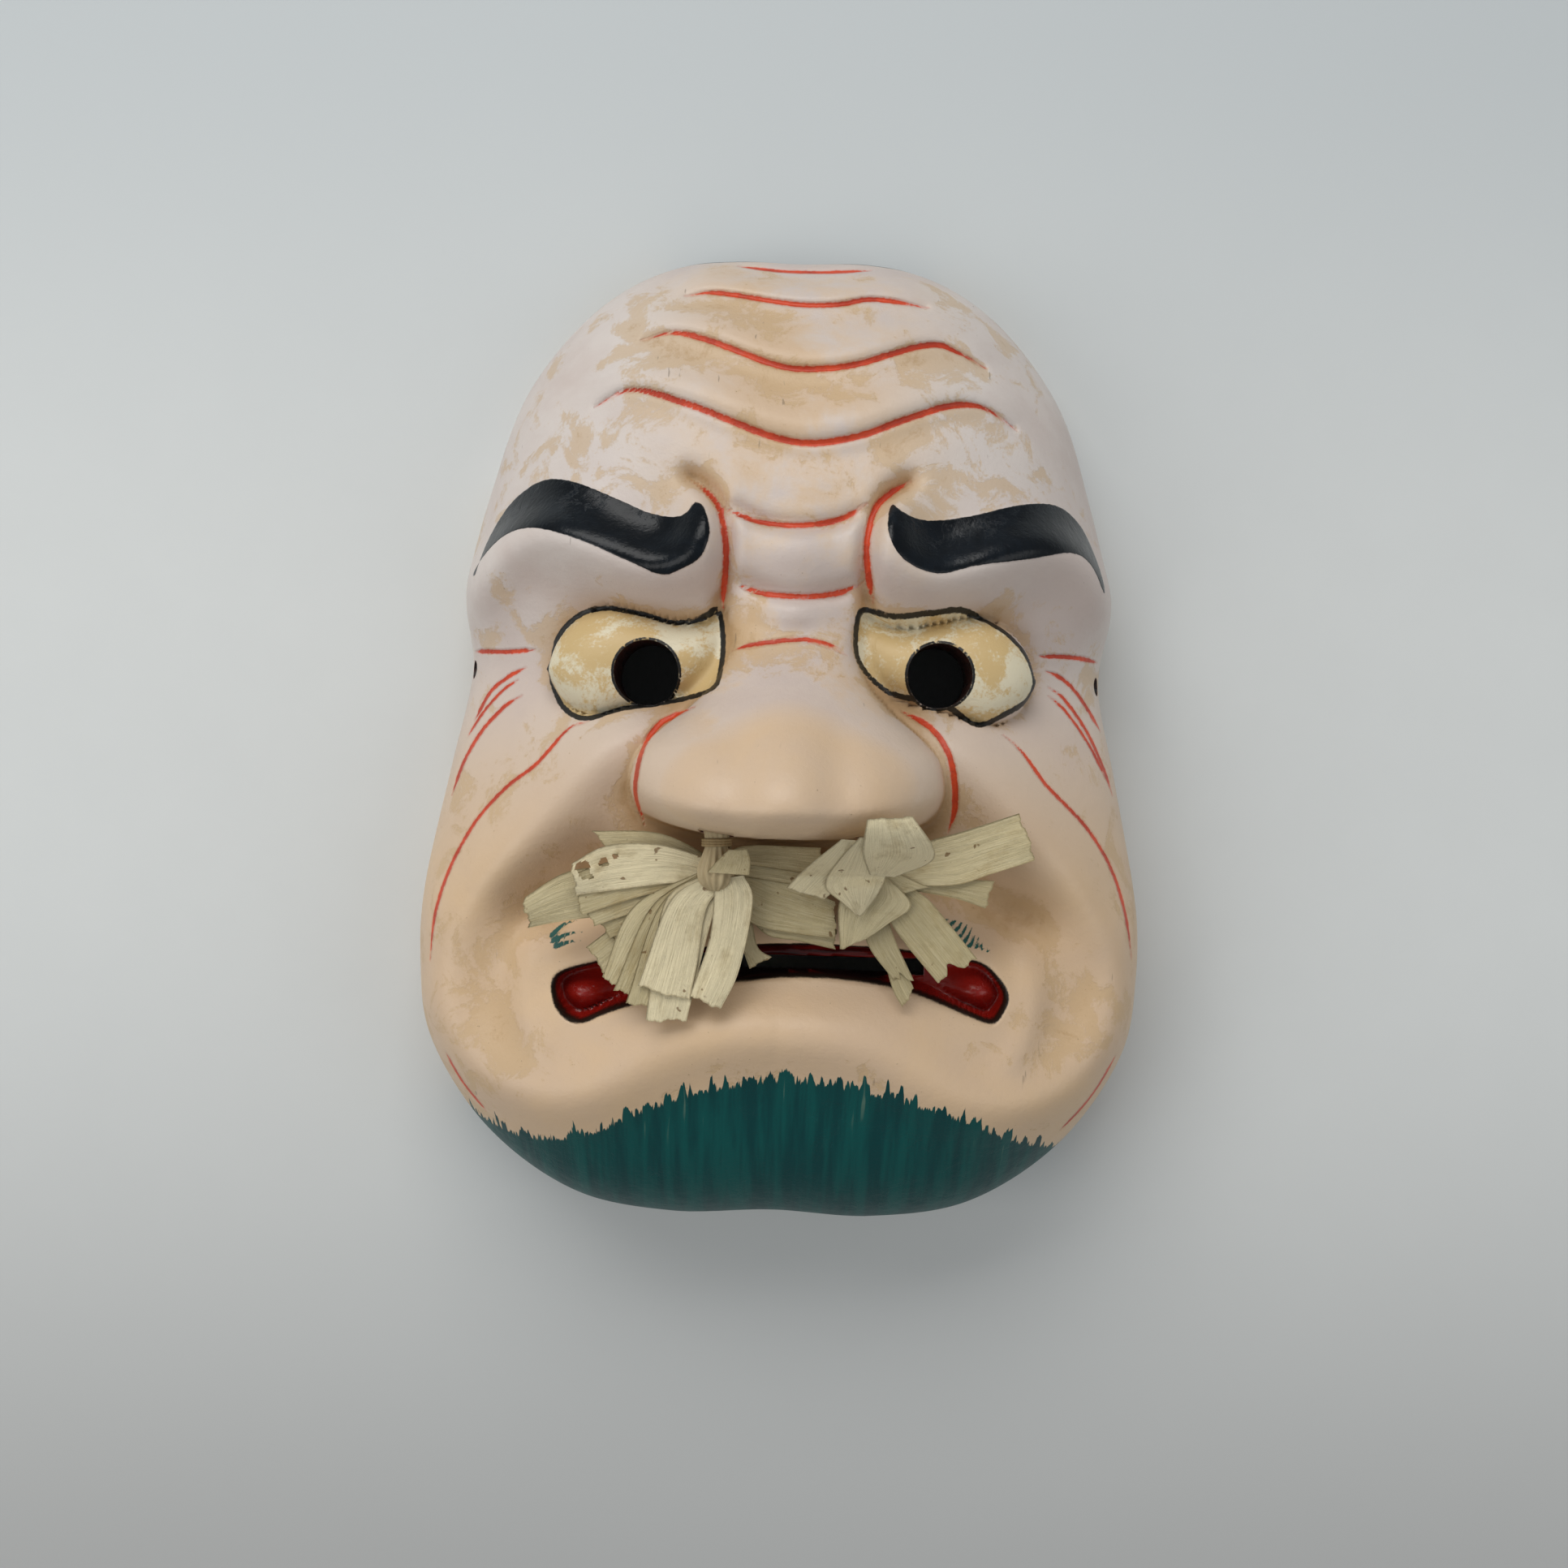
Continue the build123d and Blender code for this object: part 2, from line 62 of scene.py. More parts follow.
class Graph:
    """A procedural material, built one node at a time."""

    def __init__(self, name):
        self.material = bpy.data.materials.new(name)
        self.material.use_nodes = True
        self.tree = self.material.node_tree
        self.tree.nodes.clear()

    def put(self, socket, value):
        if isinstance(value, bpy.types.NodeSocket):
            self.tree.links.new(value, socket)
        elif value is not None:
            socket.default_value = value

    def node(self, kind, inputs=(), **settings):
        made = self.tree.nodes.new(kind)
        for key, value in settings.items():
            setattr(made, key, value)
        for key, value in dict(inputs).items():
            self.put(made.inputs[key], value)
        return made

    def attribute(self, name):
        return self.node("ShaderNodeAttribute", attribute_name=name).outputs["Fac"]

    def position(self):
        return self.node("ShaderNodeTexCoord").outputs["Object"]

    def math(self, operation, a, b=None, c=None):
        made = self.node("ShaderNodeMath", operation=operation)
        for socket, value in zip(made.inputs, (a, b, c)):
            self.put(socket, value)
        return made.outputs[0]

    def mix(self, factor, a, b, blend="MIX"):
        made = self.node("ShaderNodeMix", data_type="RGBA", blend_type=blend)
        self.put(made.inputs[0], factor)
        self.put(made.inputs[6], a)
        self.put(made.inputs[7], b)
        return made.outputs[2]

    def scaled(self, vector, x, y, z):
        made = self.node("ShaderNodeMapping", {"Vector": vector})
        made.inputs["Scale"].default_value = (x, y, z)
        return made.outputs[0]

    def noise(self, vector, scale, detail=4.0, rough=0.55, distort=0.0):
        made = self.node("ShaderNodeTexNoise", {"Vector": vector, "Scale": scale, "Detail": detail,
                                                "Roughness": rough, "Distortion": distort})
        return made.outputs["Fac"]

    def step(self, value, low, high):
        """0 below low, 1 above high, smooth between; low may be the greater of the two."""
        flip = low > high
        ends = {"From Min": min(low, high), "From Max": max(low, high), "To Min": float(flip),
                "To Max": float(not flip)}
        made = self.node("ShaderNodeMapRange", {"Value": value, **ends}, interpolation_type="SMOOTHSTEP")
        return made.outputs[0]

    def bump(self, height, strength, distance, normal=None):
        made = self.node("ShaderNodeBump", {"Height": height, "Strength": strength,
                                            "Distance": distance, "Normal": normal})
        return made.outputs[0]

    def surface(self, **inputs):
        shader = self.node("ShaderNodeBsdfPrincipled")
        for key, value in inputs.items():
            self.put(shader.inputs[key.replace("_", " ")], value)
        out = self.node("ShaderNodeOutputMaterial")
        self.tree.links.new(shader.outputs[0], out.inputs[0])
        return self.material


def curve(points, steps=12, closed=False):
    """Points along a smooth Catmull-Rom curve through a few set points."""
    p = np.array(points, float)
    if closed:
        p = np.vstack([p[-1], p, p[:2]])
    else:
        p = np.vstack([2*p[0]-p[1], p, 2*p[-1]-p[-2]])
    t = np.linspace(0, 1, steps, endpoint=False)[:, None]
    spans = []
    for a, b, c, d in zip(p[:-3], p[1:-2], p[2:-1], p[3:]):
        spans.append(0.5*(2*b+(c-a)*t+(2*a-5*b+4*c-d)*t**2+(3*b-3*c+d-a)*t**3))
    if not closed:
        spans.append(p[-2:-1])
    return np.vstack(spans)


def ease(t):
    t = np.clip(t, 0, 1)
    return t*t*(3-2*t)


def union(a, b, soft):
    """The greater of two heights, with a soft join."""
    return 0.5*(a+b+np.sqrt((a-b)**2+soft*soft))


def profile(v, points):
    line = curve(points, 16)
    return np.interp(v, line[:, 0], line[:, 1])


def bump(u, v, centre, size, height, turn=0.0):
    c = math.cos(math.radians(turn))
    s = math.sin(math.radians(turn))
    du = u-centre[0]
    dv = v-centre[1]
    return height*np.exp(-((du*c+dv*s)/size[0])**2-((dv*c-du*s)/size[1])**2)


def ridge(u, v, points, width, height):
    """A rounded ridge along a curve, or a groove where the height is negative."""
    line = curve(points)
    gaps = np.linalg.norm(np.diff(line, axis=0), axis=1)
    total = np.zeros(u.shape)
    for (px, py), gap in zip(0.5*(line[1:]+line[:-1]), gaps):
        total += gap*np.exp(-((u-px)**2+(v-py)**2)/width**2)
    return height*total/(width*math.sqrt(math.pi))


def distance_to(u, v, points, closed=False, steps=8):
    """Distance from each point to a smooth curve, and how far along the curve the nearest point is."""
    line = curve(points, steps, closed)
    if closed:
        line = np.vstack([line, line[:1]])
    best = np.full(u.shape, 1e9)
    share = np.zeros(u.shape)
    lengths = np.linalg.norm(np.diff(line, axis=0), axis=1)
    starts = np.concatenate([[0], np.cumsum(lengths)])/lengths.sum()
    for a, b, s0, s1 in zip(line[:-1], line[1:], starts[:-1], starts[1:]):
        d = b-a
        t = np.clip(((u-a[0])*d[0]+(v-a[1])*d[1])/max(d @ d, 1e-9), 0, 1)
        gap = np.hypot(u-a[0]-t*d[0], v-a[1]-t*d[1])
        share = np.where(gap < best, s0+(s1-s0)*t, share)
        best = np.minimum(gap, best)
    return best, share


def inside(u, v, points, steps=8):
    """Signed distance to a smooth closed shape, positive inside."""
    line = curve(points, steps, closed=True)
    odd = np.zeros(u.shape, bool)
    for (ax, ay), (bx, by) in zip(line, np.roll(line, -1, axis=0)):
        crosses = (ay > v) != (by > v)
        height = by-ay if abs(by-ay) > 1e-9 else 1e-9
        odd ^= crosses & (u < (bx-ax)*(v-ay)/height+ax)
    gap, share = distance_to(u, v, points, closed=True, steps=steps)
    return np.where(odd, gap, -gap)


# ---- the form of the face, in millimetres, as in the CAD model -----------------------------------

DOME = 52.0
DOME_CROWN = 10.0
DOME_CHIN = 8.0
LEAN = 1.0
LEAN_SLOPE = 0.012
WALL = 7.0
SIDE_WALL = 8.0
HALF_WIDTH = 78.0
PUPILS = [(-28.1, 10.5), (30.9, 11.5)]
PUPIL_RADIUS = 6.5
CORD_HOLE = (12.0, 20.0, 2.0)      # y, z and radius
STEM_X = {"left": -12.5, "right": 17.5}
STEM_RADIUS = 2.7
SWING_Y = -14.0                    # the line that the tufts swing about
SWING_Z = 65.0
NOSTRIL_GAP = 0.6
NOSTRIL_MOUTH = -26.0              # y of the nostril's open end
NOSTRIL_RISE = 3.3                 # how much higher its roof is there, to clear a lifted stem
MOUTH_EDGE = 1.6                   # width of the slope into the mouth
MOUTH_SWELLS = [(-39, -55), (40.5, -52.5)]
OUTER_GRID = 361                   # points along each side of the outside's grid
INNER_GRID = 181                   # and of the inside's; the outside has two steps to each of its steps
CREASE_BLUR = 320
MOUTH_FLOOR = 43.5
SLIT = (-28.0, 30.0, -49.7, -46.4)

OUTLINE = [(0, 106), (24, 105.6), (43.5, 96), (59.3, 77), (67.3, 55), (71.8, 33.5), (70.8, 12),
           (74, -9), (78.2, -33), (78.6, -52), (75.5, -69.5), (62.9, -88.7), (43.6, -102),
           (22, -106), (0, -105.2)]
BROW_FOLD = [(72, 22), (66, 31), (54, 38), (42, 35), (30, 30), (22, 30), (18, 35), (18.5, 44)]
BROW_PAD = [(60, 44), (48, 46), (36, 42)]
FROWN = [(23, 51), (18, 47.5), (15.2, 43), (14, 37), (14, 30), (15.2, 24)]
NOSE_ROOT_LINES = [
    [(-13, 44), (-8, 41.3), (-2, 40.2), (4, 40.3), (9, 41.5), (13, 44)],
    [(-12, 29.4), (-5, 26.9), (1, 26.3), (8, 27.2), (12, 29)],
    [(-11, 15.3), (-4.7, 16.5), (2.4, 17.2), (8, 16.4), (11, 15)],
]
WRINKLES = [
    [(-13, 101.3), (-5, 100), (2, 99.8), (9, 100), (16, 101)],
    [(-23.5, 91), (-17, 91.6), (-3.6, 89.5), (3, 88.9), (9.6, 89.4), (16, 90.9), (28, 90.1)],
    [(-32, 79.9), (-26, 81.2), (-19.5, 79.8), (-4.8, 74), (3.3, 73), (13, 74.5), (27.4, 80.1),
     (34, 79.2), (40, 76.6)],
    [(-41, 65.2), (-33, 68.2), (-22, 64.9), (-12.4, 61.1), (-4.3, 58.1), (3.7, 56.9), (13.3, 58.7),
     (22.8, 62.8), (32, 66.5), (39, 67), (46.4, 63.5)],
]
EYE_TOP = [(12, 15), (13.8, 23.6), (18, 22.3), (23.5, 21.6), (30, 22.9), (37, 24.3), (43.5, 22.2),
           (48, 17.6), (50.2, 11)]
EYE_LOW = [(12, 15), (14, 8.2), (20, 6.4), (27, 4.9), (33.5, 3.4), (40, 1.6), (45.5, 3.4),
           (49, 7.6), (50.2, 11)]
NOSE_SPINE = [(-34, 62), (-28, 72), (-22.5, 80), (-17.5, 84.8), (-12, 84), (-6, 79.5), (1, 72),
              (8, 64.5), (15, 58.5), (22, 55), (30, 53)]
NOSE_WIDTH = [(-30, 22), (-24, 26.5), (-18, 30.4), (-12, 31.6), (-6, 30.2), (-1, 26), (4, 20),
              (9, 15.5), (16, 12.5), (24, 12), (30, 12)]
CHEEK_FOLD = [(27, 2), (36, -5), (44, -13), (52, -22), (60, -33), (66, -44)]
JOWL = [(74, -34), (73, -50), (69, -62), (61, -71), (50, -76), (40, -76), (32, -71), (22, -65),
        (8, -62), (-8, -62)]
MOUTH_CORNER = [(49, -40), (52, -50), (51, -60), (46, -67)]
MOUTH = [(-45.3, -53), (-43.5, -50.5), (-38, -48.6), (-32, -47.2), (-18, -45), (-4.7, -43.6),
         (9.8, -43.2), (24.4, -44), (34, -45.5), (41, -46.5), (45, -50), (46.4, -53), (45.6, -55.5),
         (43.4, -57.9), (38.5, -56.3), (31, -53.3), (23, -50.9), (13, -49.5), (4.3, -49.3),
         (-4.5, -50), (-16, -51.9), (-27, -55), (-34, -57.5), (-40, -60), (-44, -57.5)]

RIM = curve(OUTLINE+[(-x, y) for x, y in OUTLINE[-2:0:-1]], 24, closed=True)
RIM_ANGLE = np.arctan2(RIM[:, 1], RIM[:, 0])
RIM_RADIUS = np.hypot(RIM[:, 0], RIM[:, 1])


def outline_radius(angle):
    return np.interp(angle, RIM_ANGLE, RIM_RADIUS, period=2*math.pi)


def dome(x, y):
    reach = np.hypot(x, y)/outline_radius(np.arctan2(y, x))
    brow = ease((y+30)/90)
    height = DOME+DOME_CROWN*ease((y-10)/60)+DOME_CHIN*ease((-y-35)/40)
    return height*np.clip(1-np.clip(reach, 0, 1)**(3.2-0.7*brow), 0, 1)**(1/(3.4-1.2*brow))


def add_nose(z, u, v):
    a = np.abs(u)
    spine = profile(v, NOSE_SPINE)
    across = a/profile(v, NOSE_WIDTH)
    edge = 47+5*ease((v+4)/12)
    body = edge+(spine-edge)*np.clip(1-across**2.5, 0, 1)**0.5-12*np.clip(across-1, 0, 3)
    body = body+1.6*np.exp(-(u/7)**2)*ease((v+24)/10)*ease((14-v)/12)
    body = body-1.4*np.exp(-((a-9.5)/4.5)**2)*ease((v+24)/8)*ease((4-v)/10)
    low = -22+4.5*np.clip(a/30, 0, 1.2)**2.6
    body = body-9*np.clip((low+6-v)/6.5, 0, 1)**2
    reach = ease((v-low)/1.6+0.5)*ease((30-v)/12)*ease((1.35-across)/0.3)
    return z+(union(z, body, 1.8)-z)*reach


def eye_opening(a, v):
    """0 at the rim of the eye and 1 along its middle line; negative outside it."""
    lid = profile(a, EYE_TOP)
    bag = profile(a, EYE_LOW)
    half = np.maximum((lid-bag)/2, 0.01)
    return np.where((a > 12) & (a < 50.2), 1-((v-(lid+bag)/2)/half)**2, -1)


def relief(x, y):
    """Height of the carved face above the rim plane."""
    z = dome(x, y)
    u = x-LEAN-LEAN_SLOPE*y
    v = y
    a = np.abs(u)
    z = z+bump(a, v, (32, 14), (24, 12), -9)+bump(a, v, (63, 10), (12, 16), -3)
    z = z+ridge(a, v, BROW_FOLD, 6.5, 7.5)+ridge(a, v, BROW_PAD, 9, 2)
    z = z+bump(a, v, (0, 29), (12, 16), 4.5)
    z = z+bump(a, v, (0, 34.5), (13, 4.5), 1.8)+bump(a, v, (0, 21.5), (12, 3.5), 2.2)
    z = z+ridge(a, v, FROWN, 2.0, -4.2)
    for line in NOSE_ROOT_LINES:
        z = z+ridge(u, v, line, 1.6, -2.3)
    for line in WRINKLES:
        z = z+ridge(x, y, [(px, py+3.2) for px, py in line], 4.5, 1.6)
        z = z+ridge(x, y, [(px, py-2.8) for px, py in line], 3.5, -1.0)
        z = z+ridge(x, y, line, 0.9, -1.0)
    opening = eye_opening(a, v)
    ball = 42+10.5*np.sqrt(np.clip(opening, 0, 1))*np.clip(1-((a-31)/22)**4, 0, 1)
    z = np.where(opening > 0, union(ball, z-3, 1.0), z)
    z = add_nose(z, u, v)
    z = z+ridge(a, v, CHEEK_FOLD, 8.5, 6)
    z = z+bump(a, v, (47, -37), (13, 8), -7.5, -20)+bump(a, v, (35, -29), (8, 6), -5)
    z = z+ridge(a, v, JOWL, 8, 4.5)+bump(a, v, (58, -56), (9, 13), -3)
    z = z+ridge(a, v, MOUTH_CORNER, 3.5, 1.5)
    return z+bump(a, v, (0, -36), (30, 11), 5)+bump(a, v, (0, -58), (36, 7), 3)


def hollow(x, y, shrink):
    """Height of the hollow behind the face."""
    z = dome(x*shrink, y*shrink)
    a = np.abs(x-LEAN)
    dents = bump(a, y, (0, -8), (17, 13), 11)+bump(a, y, (30, 13), (20, 12), -8)
    dents = dents+bump(x, y, (0, -50), (60, 16), -9)+bump(a, y, (47, -33), (18, 10), -4)
    return z*(1-(WALL-dents)/DOME)


# ---- what is painted on it -----------------------------------------------------------------------

BROW_LEFT = [(-66, 31.5), (-63.5, 39.6), (-58.8, 46.2), (-51.6, 49.9), (-44.4, 49), (-34.6, 44.9),
             (-28.1, 42.2), (-22.4, 41.2), (-20, 42.4), (-19.2, 44), (-17.1, 42.8), (-15.7, 37.7),
             (-17.3, 32.8), (-21.3, 30.3), (-25.3, 29.4), (-32.2, 32.1), (-41.2, 35.9),
             (-51.1, 38.9), (-57.6, 38.7), (-62.5, 36.2), (-66.8, 32)]
BROW_RIGHT = [(19.9, 44.8), (21.9, 43.3), (26.8, 42.1), (36.4, 43.7), (46, 46.7), (54, 48.2),
              (58.9, 47), (63, 43.1), (66.1, 35.1), (66.7, 30.9), (62.8, 36.1), (57.9, 37.6),
              (48.2, 35.2), (36.9, 33), (30.5, 31.2), (25.6, 31.8), (21.5, 34.2), (19.2, 39)]
EYES = [
    [(-48.7, 12.7), (-47.5, 18), (-43.6, 21.9), (-37.9, 23.7), (-29.6, 22.6), (-23, 21),
     (-17.3, 22.1), (-14.1, 23.5), (-12.9, 17.3), (-13.2, 10.7), (-14.4, 7.4), (-20.1, 5.6),
     (-27.5, 4.1), (-33.2, 3.1), (-40.5, 1), (-45.5, 3.3), (-48.6, 8.9)],
    [(15, 24.3), (21.2, 23.2), (29.4, 24.2), (35.9, 24.9), (42.6, 22.1), (48, 17.4), (50.6, 11.7),
     (49.6, 7.6), (44.7, 4.2), (39.1, 1.9), (33.2, 5.1), (26.6, 6.6), (20, 8.4), (14.9, 13.2),
     (13.8, 18.1)],
]
RED_LINES = [
    (1.0, WRINKLES[0]),
    (1.1, WRINKLES[1]),
    (1.2, WRINKLES[2]),
    (1.25, WRINKLES[3]),
    (1.1, [(-13.4, 43.5), (-8.6, 41.4), (-2.2, 40.2), (4.1, 40.4), (10.4, 42), (15.1, 45)]),
    (1.1, [(-10.6, 28.5), (-5, 26.7), (2.2, 26.1), (9.3, 27.1), (14.4, 29.2)]),
    (1.0, [(-11, 15.3), (-4.7, 16.5), (2.4, 17.5), (8, 16.6), (12, 14.9)]),
    (1.2, [(-20, 49.4), (-16.7, 46.6), (-14.2, 43.2), (-12.8, 37.2), (-12.6, 32.4), (-13, 27.6),
           (-13.2, 23.6)]),
    (1.2, [(24.1, 50.6), (19.9, 47.7), (16.8, 44.1), (15.4, 38), (15.5, 33.2), (16.5, 28.4),
           (17.3, 25.6)]),
    (1.15, [(-17.8, 3.5), (-24.1, 0.9), (-27.1, -3.1), (-28.4, -9.5), (-28.7, -15), (-27.7, -20.2)]),
    (1.2, [(23.4, 4.2), (29, 1.2), (32.6, -3.8), (34.2, -10.1), (34.5, -15.6), (33.5, -19.9)]),
    (0.9, [(-68.2, 15.9), (-60, 15.2), (-52.8, 15.4)]),
    (0.9, [(-54.7, 11.8), (-58.8, 9.8), (-63, 6.6), (-66.2, 0.6)]),
    (0.7, [(-56.4, 9.2), (-59.6, 7.1), (-63.7, 2.9), (-67.6, -2.8)]),
    (0.9, [(-55, 5.9), (-59.1, 3.3), (-64, -1.9), (-68, -8.7), (-70.4, -15.5)]),
    (0.8, [(-39.7, 0.5), (-43.7, -1.1), (-47.7, -5.8), (-50.9, -9.2), (-56.5, -13.4), (-62.1, -19.3),
           (-66, -25.2), (-69.1, -31.8), (-71.4, -40.1), (-72.4, -50)]),
    (0.9, [(53, 17), (60, 17.4), (67.8, 17.2)]),
    (0.9, [(54.6, 14), (58.5, 12.7), (62.8, 9.3), (68.4, 2.2)]),
    (0.8, [(55.2, 10.7), (59.1, 8.2), (64.3, 1.7), (68.2, -5.8), (70.6, -11.6)]),
    (0.7, [(55.2, 8.8), (59.2, 5.7), (64.4, -0.8), (68.8, -8.3)]),
    (0.8, [(44.5, 0), (48.2, -3.1), (53.3, -9.6), (58.4, -14.3), (63.4, -19.1), (68.6, -26.4),
           (71.7, -34.5), (74, -45.9)]),
    (0.7, [(-68.5, -69), (-65, -75), (-60, -81)]),
    (0.7, [(71, -66), (66, -75), (60, -82)]),
]
CHIN_EDGE = [(-80, -78), (-66, -80), (-59.9, -81.2), (-51.6, -83), (-41.7, -81.8), (-35.2, -79.5),
             (-27, -75.2), (-17.3, -71.2), (-9.1, -69.1), (-0.9, -67.7), (7.4, -67.8), (15.7, -68.9),
             (24, -70.6), (32.3, -72.9), (40.6, -75.9), (47.3, -79.5), (55.7, -82.5), (62, -84.5),
             (80, -86)]
HAIRS = [
    [(-46.5, -43.5), (-44, -41.2), (-40.5, -40)], [(-46.2, -44.6), (-43, -43), (-39.5, -42.3)],
    [(-45.5, -45.6), (-42.5, -44.5), (-40, -44.2)], [(31.5, -38), (36, -38.2), (39.5, -39.5)],
    [(32, -39.5), (37, -39.8), (41.5, -41.8)], [(33, -41), (38.5, -41.6), (43, -43.8)],
    [(36, -42.6), (40.5, -43.3), (44.2, -44.9)],
]


def paint_fields(x, y):
    """Signed distances in millimetres to each painted shape, positive inside it."""
    red = np.full(x.shape, FAR)
    for width, line in RED_LINES:
        gap, share = distance_to(x, y, line)
        taper = np.clip(np.minimum(share, 1-share)*7, 0.12, 1)
        red = np.maximum(red, 0.5*width*taper-gap)
    black = np.maximum(inside(x, y, BROW_LEFT), inside(x, y, BROW_RIGHT))
    eyes = np.maximum(inside(x, y, EYES[0]), inside(x, y, EYES[1]))
    ring = np.full(x.shape, FAR)
    for px, py in PUPILS:
        ring = np.maximum(ring, PUPIL_RADIUS+0.55-np.hypot(x-px, y-py))
    outline = 0.55-np.abs(eyes)
    lips = inside(x, y, MOUTH)
    chin = profile(x, CHIN_EDGE)-y
    hairs = np.full(x.shape, FAR)
    for line in HAIRS:
        gap, share = distance_to(x, y, line)
        hairs = np.maximum(hairs, 0.5*np.clip(1.15-share, 0.1, 1)-gap)
    crown = np.minimum(y-103.7+0.0014*x*x, 30-np.abs(x-1))
    return {"red": red, "black": black, "ring": ring, "outline": outline, "eye": eyes, "lips": lips,
            "chin": chin, "hairs": hairs, "crown": crown}


# ---- meshes --------------------------------------------------------------------------------------

def new_object(name, points, faces, attributes=(), smooth=True):
    mesh = bpy.data.meshes.new(name)
    mesh.from_pydata([tuple(p) for p in points], [], [tuple(f) for f in faces])
    for key, values in dict(attributes).items():
        layer = mesh.attributes.new(key, "FLOAT", "POINT")
        layer.data.foreach_set("value", np.asarray(values, np.float32).ravel())
    if smooth:
        mesh.shade_smooth()
    obj = bpy.data.objects.new(name, mesh)
    bpy.context.scene.collection.objects.link(obj)
    return obj


def disc_grid(count):
    """A square grid pressed onto the unit disc, drawn closer together towards its edge."""
    k = np.linspace(-1, 1, count)
    u, v = np.meshgrid(k, k, indexing="ij")
    a = u*np.sqrt(1-v*v/2)
    b = v*np.sqrt(1-u*u/2)
    r = np.hypot(a, b)
    angle = np.arctan2(b, a)
    return 1-(1-np.clip(r, 0, 1))**1.5, angle


def grid_faces(rows, columns, offset=0, flip=False):
    i, j = np.meshgrid(np.arange(rows-1), np.arange(columns-1), indexing="ij")
    a = (i*columns+j).ravel()+offset
    quads = np.stack([a, a+columns, a+columns+1, a+1], 1)
    return quads[:, ::-1] if flip else quads


def blurred(values, times):
    for _ in range(times):
        p = np.pad(values, 1, mode="edge")
        values = (p[:-2, 1:-1]+p[2:, 1:-1]+p[1:-1, :-2]+p[1:-1, 2:]+4*values)/8
    return values


def border_of(rows, columns):
    """The grid's edge points, in order round it."""
    index = np.arange(rows*columns).reshape(rows, columns)
    return np.concatenate([index[0, :-1], index[:-1, -1], index[-1, :0:-1], index[:0:-1, 0]])


def outer_surface():
    """The painted outside: its points, and its painted shapes and creases."""
    reach, angle = disc_grid(OUTER_GRID)
    radius = outline_radius(angle)*reach
    x = radius*np.cos(angle)
    y = radius*np.sin(angle)
    z = relief(x, y)
    fields = paint_fields(x, y)
    lips = fields["lips"]
    z = z-np.maximum(z-MOUTH_FLOOR, 0)*ease((lips+0.3)/MOUTH_EDGE)
    for cx, cy in MOUTH_SWELLS:
        swell = 4.5*np.exp(-((x-cx)/5.5)**2-((y-cy)/3.6)**2)
        z = z+swell*ease((lips-0.6)/MOUTH_EDGE)
    z = np.where(1-reach < 1e-6, 0, z)
    # how far each point lies below its blurred surroundings; it places the tan wear and the painted shade
    # in the creases
    fields["crease"] = blurred(z, CREASE_BLUR)-z
    return np.stack([x, y, z], -1).reshape(-1, 3), fields


def inner_surface():
    """The hollow back, with shallow gouge marks."""
    reach, angle = disc_grid(INNER_GRID)
    scale = 1-SIDE_WALL/HALF_WIDTH
    radius = outline_radius(angle)*reach*scale
    x = radius*np.cos(angle)
    y = radius*np.sin(angle)
    z = np.where(1-reach < 1e-6, 0, hollow(x, y, 1/scale))
    gouges = 0.35*np.sin(x*0.9+1.3*np.sin(y*0.11))*np.sin(y*0.45+2*np.sin(x*0.07))
    return np.stack([x, y, z+gouges*ease(z/12)], -1).reshape(-1, 3)


def rim_faces(start):
    """Flat faces from the outside's edge to the inside's, two outer steps to each inner one."""
    ring_out = border_of(OUTER_GRID, OUTER_GRID)
    ring_in = border_of(INNER_GRID, INNER_GRID)+start
    faces = []
    for i in range(len(ring_in)):
        j = (i+1) % len(ring_in)
        first = ring_out[2*i]
        second = ring_out[2*i+1]
        third = ring_out[(2*i+2) % len(ring_out)]
        faces.append((first, ring_in[i], ring_in[j], second))
        faces.append((second, ring_in[j], third))
    return faces


def make_mask():
    outer, fields = outer_surface()
    inner = inner_surface()
    start = len(outer)
    faces = list(grid_faces(OUTER_GRID, OUTER_GRID))
    faces += list(grid_faces(INNER_GRID, INNER_GRID, start, flip=True))
    faces += rim_faces(start)
    faces = [tuple(int(k) for k in face) for face in faces]
    attributes = {}
    for key, values in fields.items():
        attributes[key] = np.concatenate([values.ravel(), np.full(len(inner), FAR)])
    attributes["crease"][start:] = 0
    attributes["back"] = np.concatenate([np.zeros(start), np.ones(len(inner))])
    mask = new_object("mask", np.vstack([outer, inner])*MM, faces, attributes)
    cut_holes(mask)
    return mask


def tube(name, start, end, radius, sides=48):
    """A closed round bar between two points, in millimetres."""
    mesh = bpy.data.meshes.new(name)
    work = bmesh.new()
    a = np.array(start, float)
    b = np.array(end, float)
    length = float(np.linalg.norm(b-a))
    bmesh.ops.create_cone(work, cap_ends=True, segments=sides, radius1=radius, radius2=radius,
                          depth=length)
    turn = mathutils.Vector(b-a).to_track_quat("Z", "Y").to_matrix().to_4x4()
    place = mathutils.Matrix.Translation(mathutils.Vector((a+b)/2)) @ turn
    bmesh.ops.transform(work, matrix=mathutils.Matrix.Scale(MM, 4) @ place, verts=work.verts)
    work.to_mesh(mesh)
    work.free()
    obj = bpy.data.objects.new(name, mesh)
    bpy.context.scene.collection.objects.link(obj)
    return obj


def block(name, plan, heights, rise=0.0):
    """A closed box in millimetres; its top may rise towards its low-y end."""
    x0, x1, y0, y1 = plan
    corners = [(x, y, z) for z in heights for x, y in ((x0, y0), (x1, y0), (x1, y1), (x0, y1))]
    corners[4] = (x0, y0, heights[1]+rise)
    corners[5] = (x1, y0, heights[1]+rise)
    faces = [(3, 2, 1, 0), (4, 5, 6, 7), (0, 1, 5, 4), (1, 2, 6, 5), (2, 3, 7, 6), (3, 0, 4, 7)]
    return new_object(name, np.array(corners, float)*MM, faces, smooth=False)


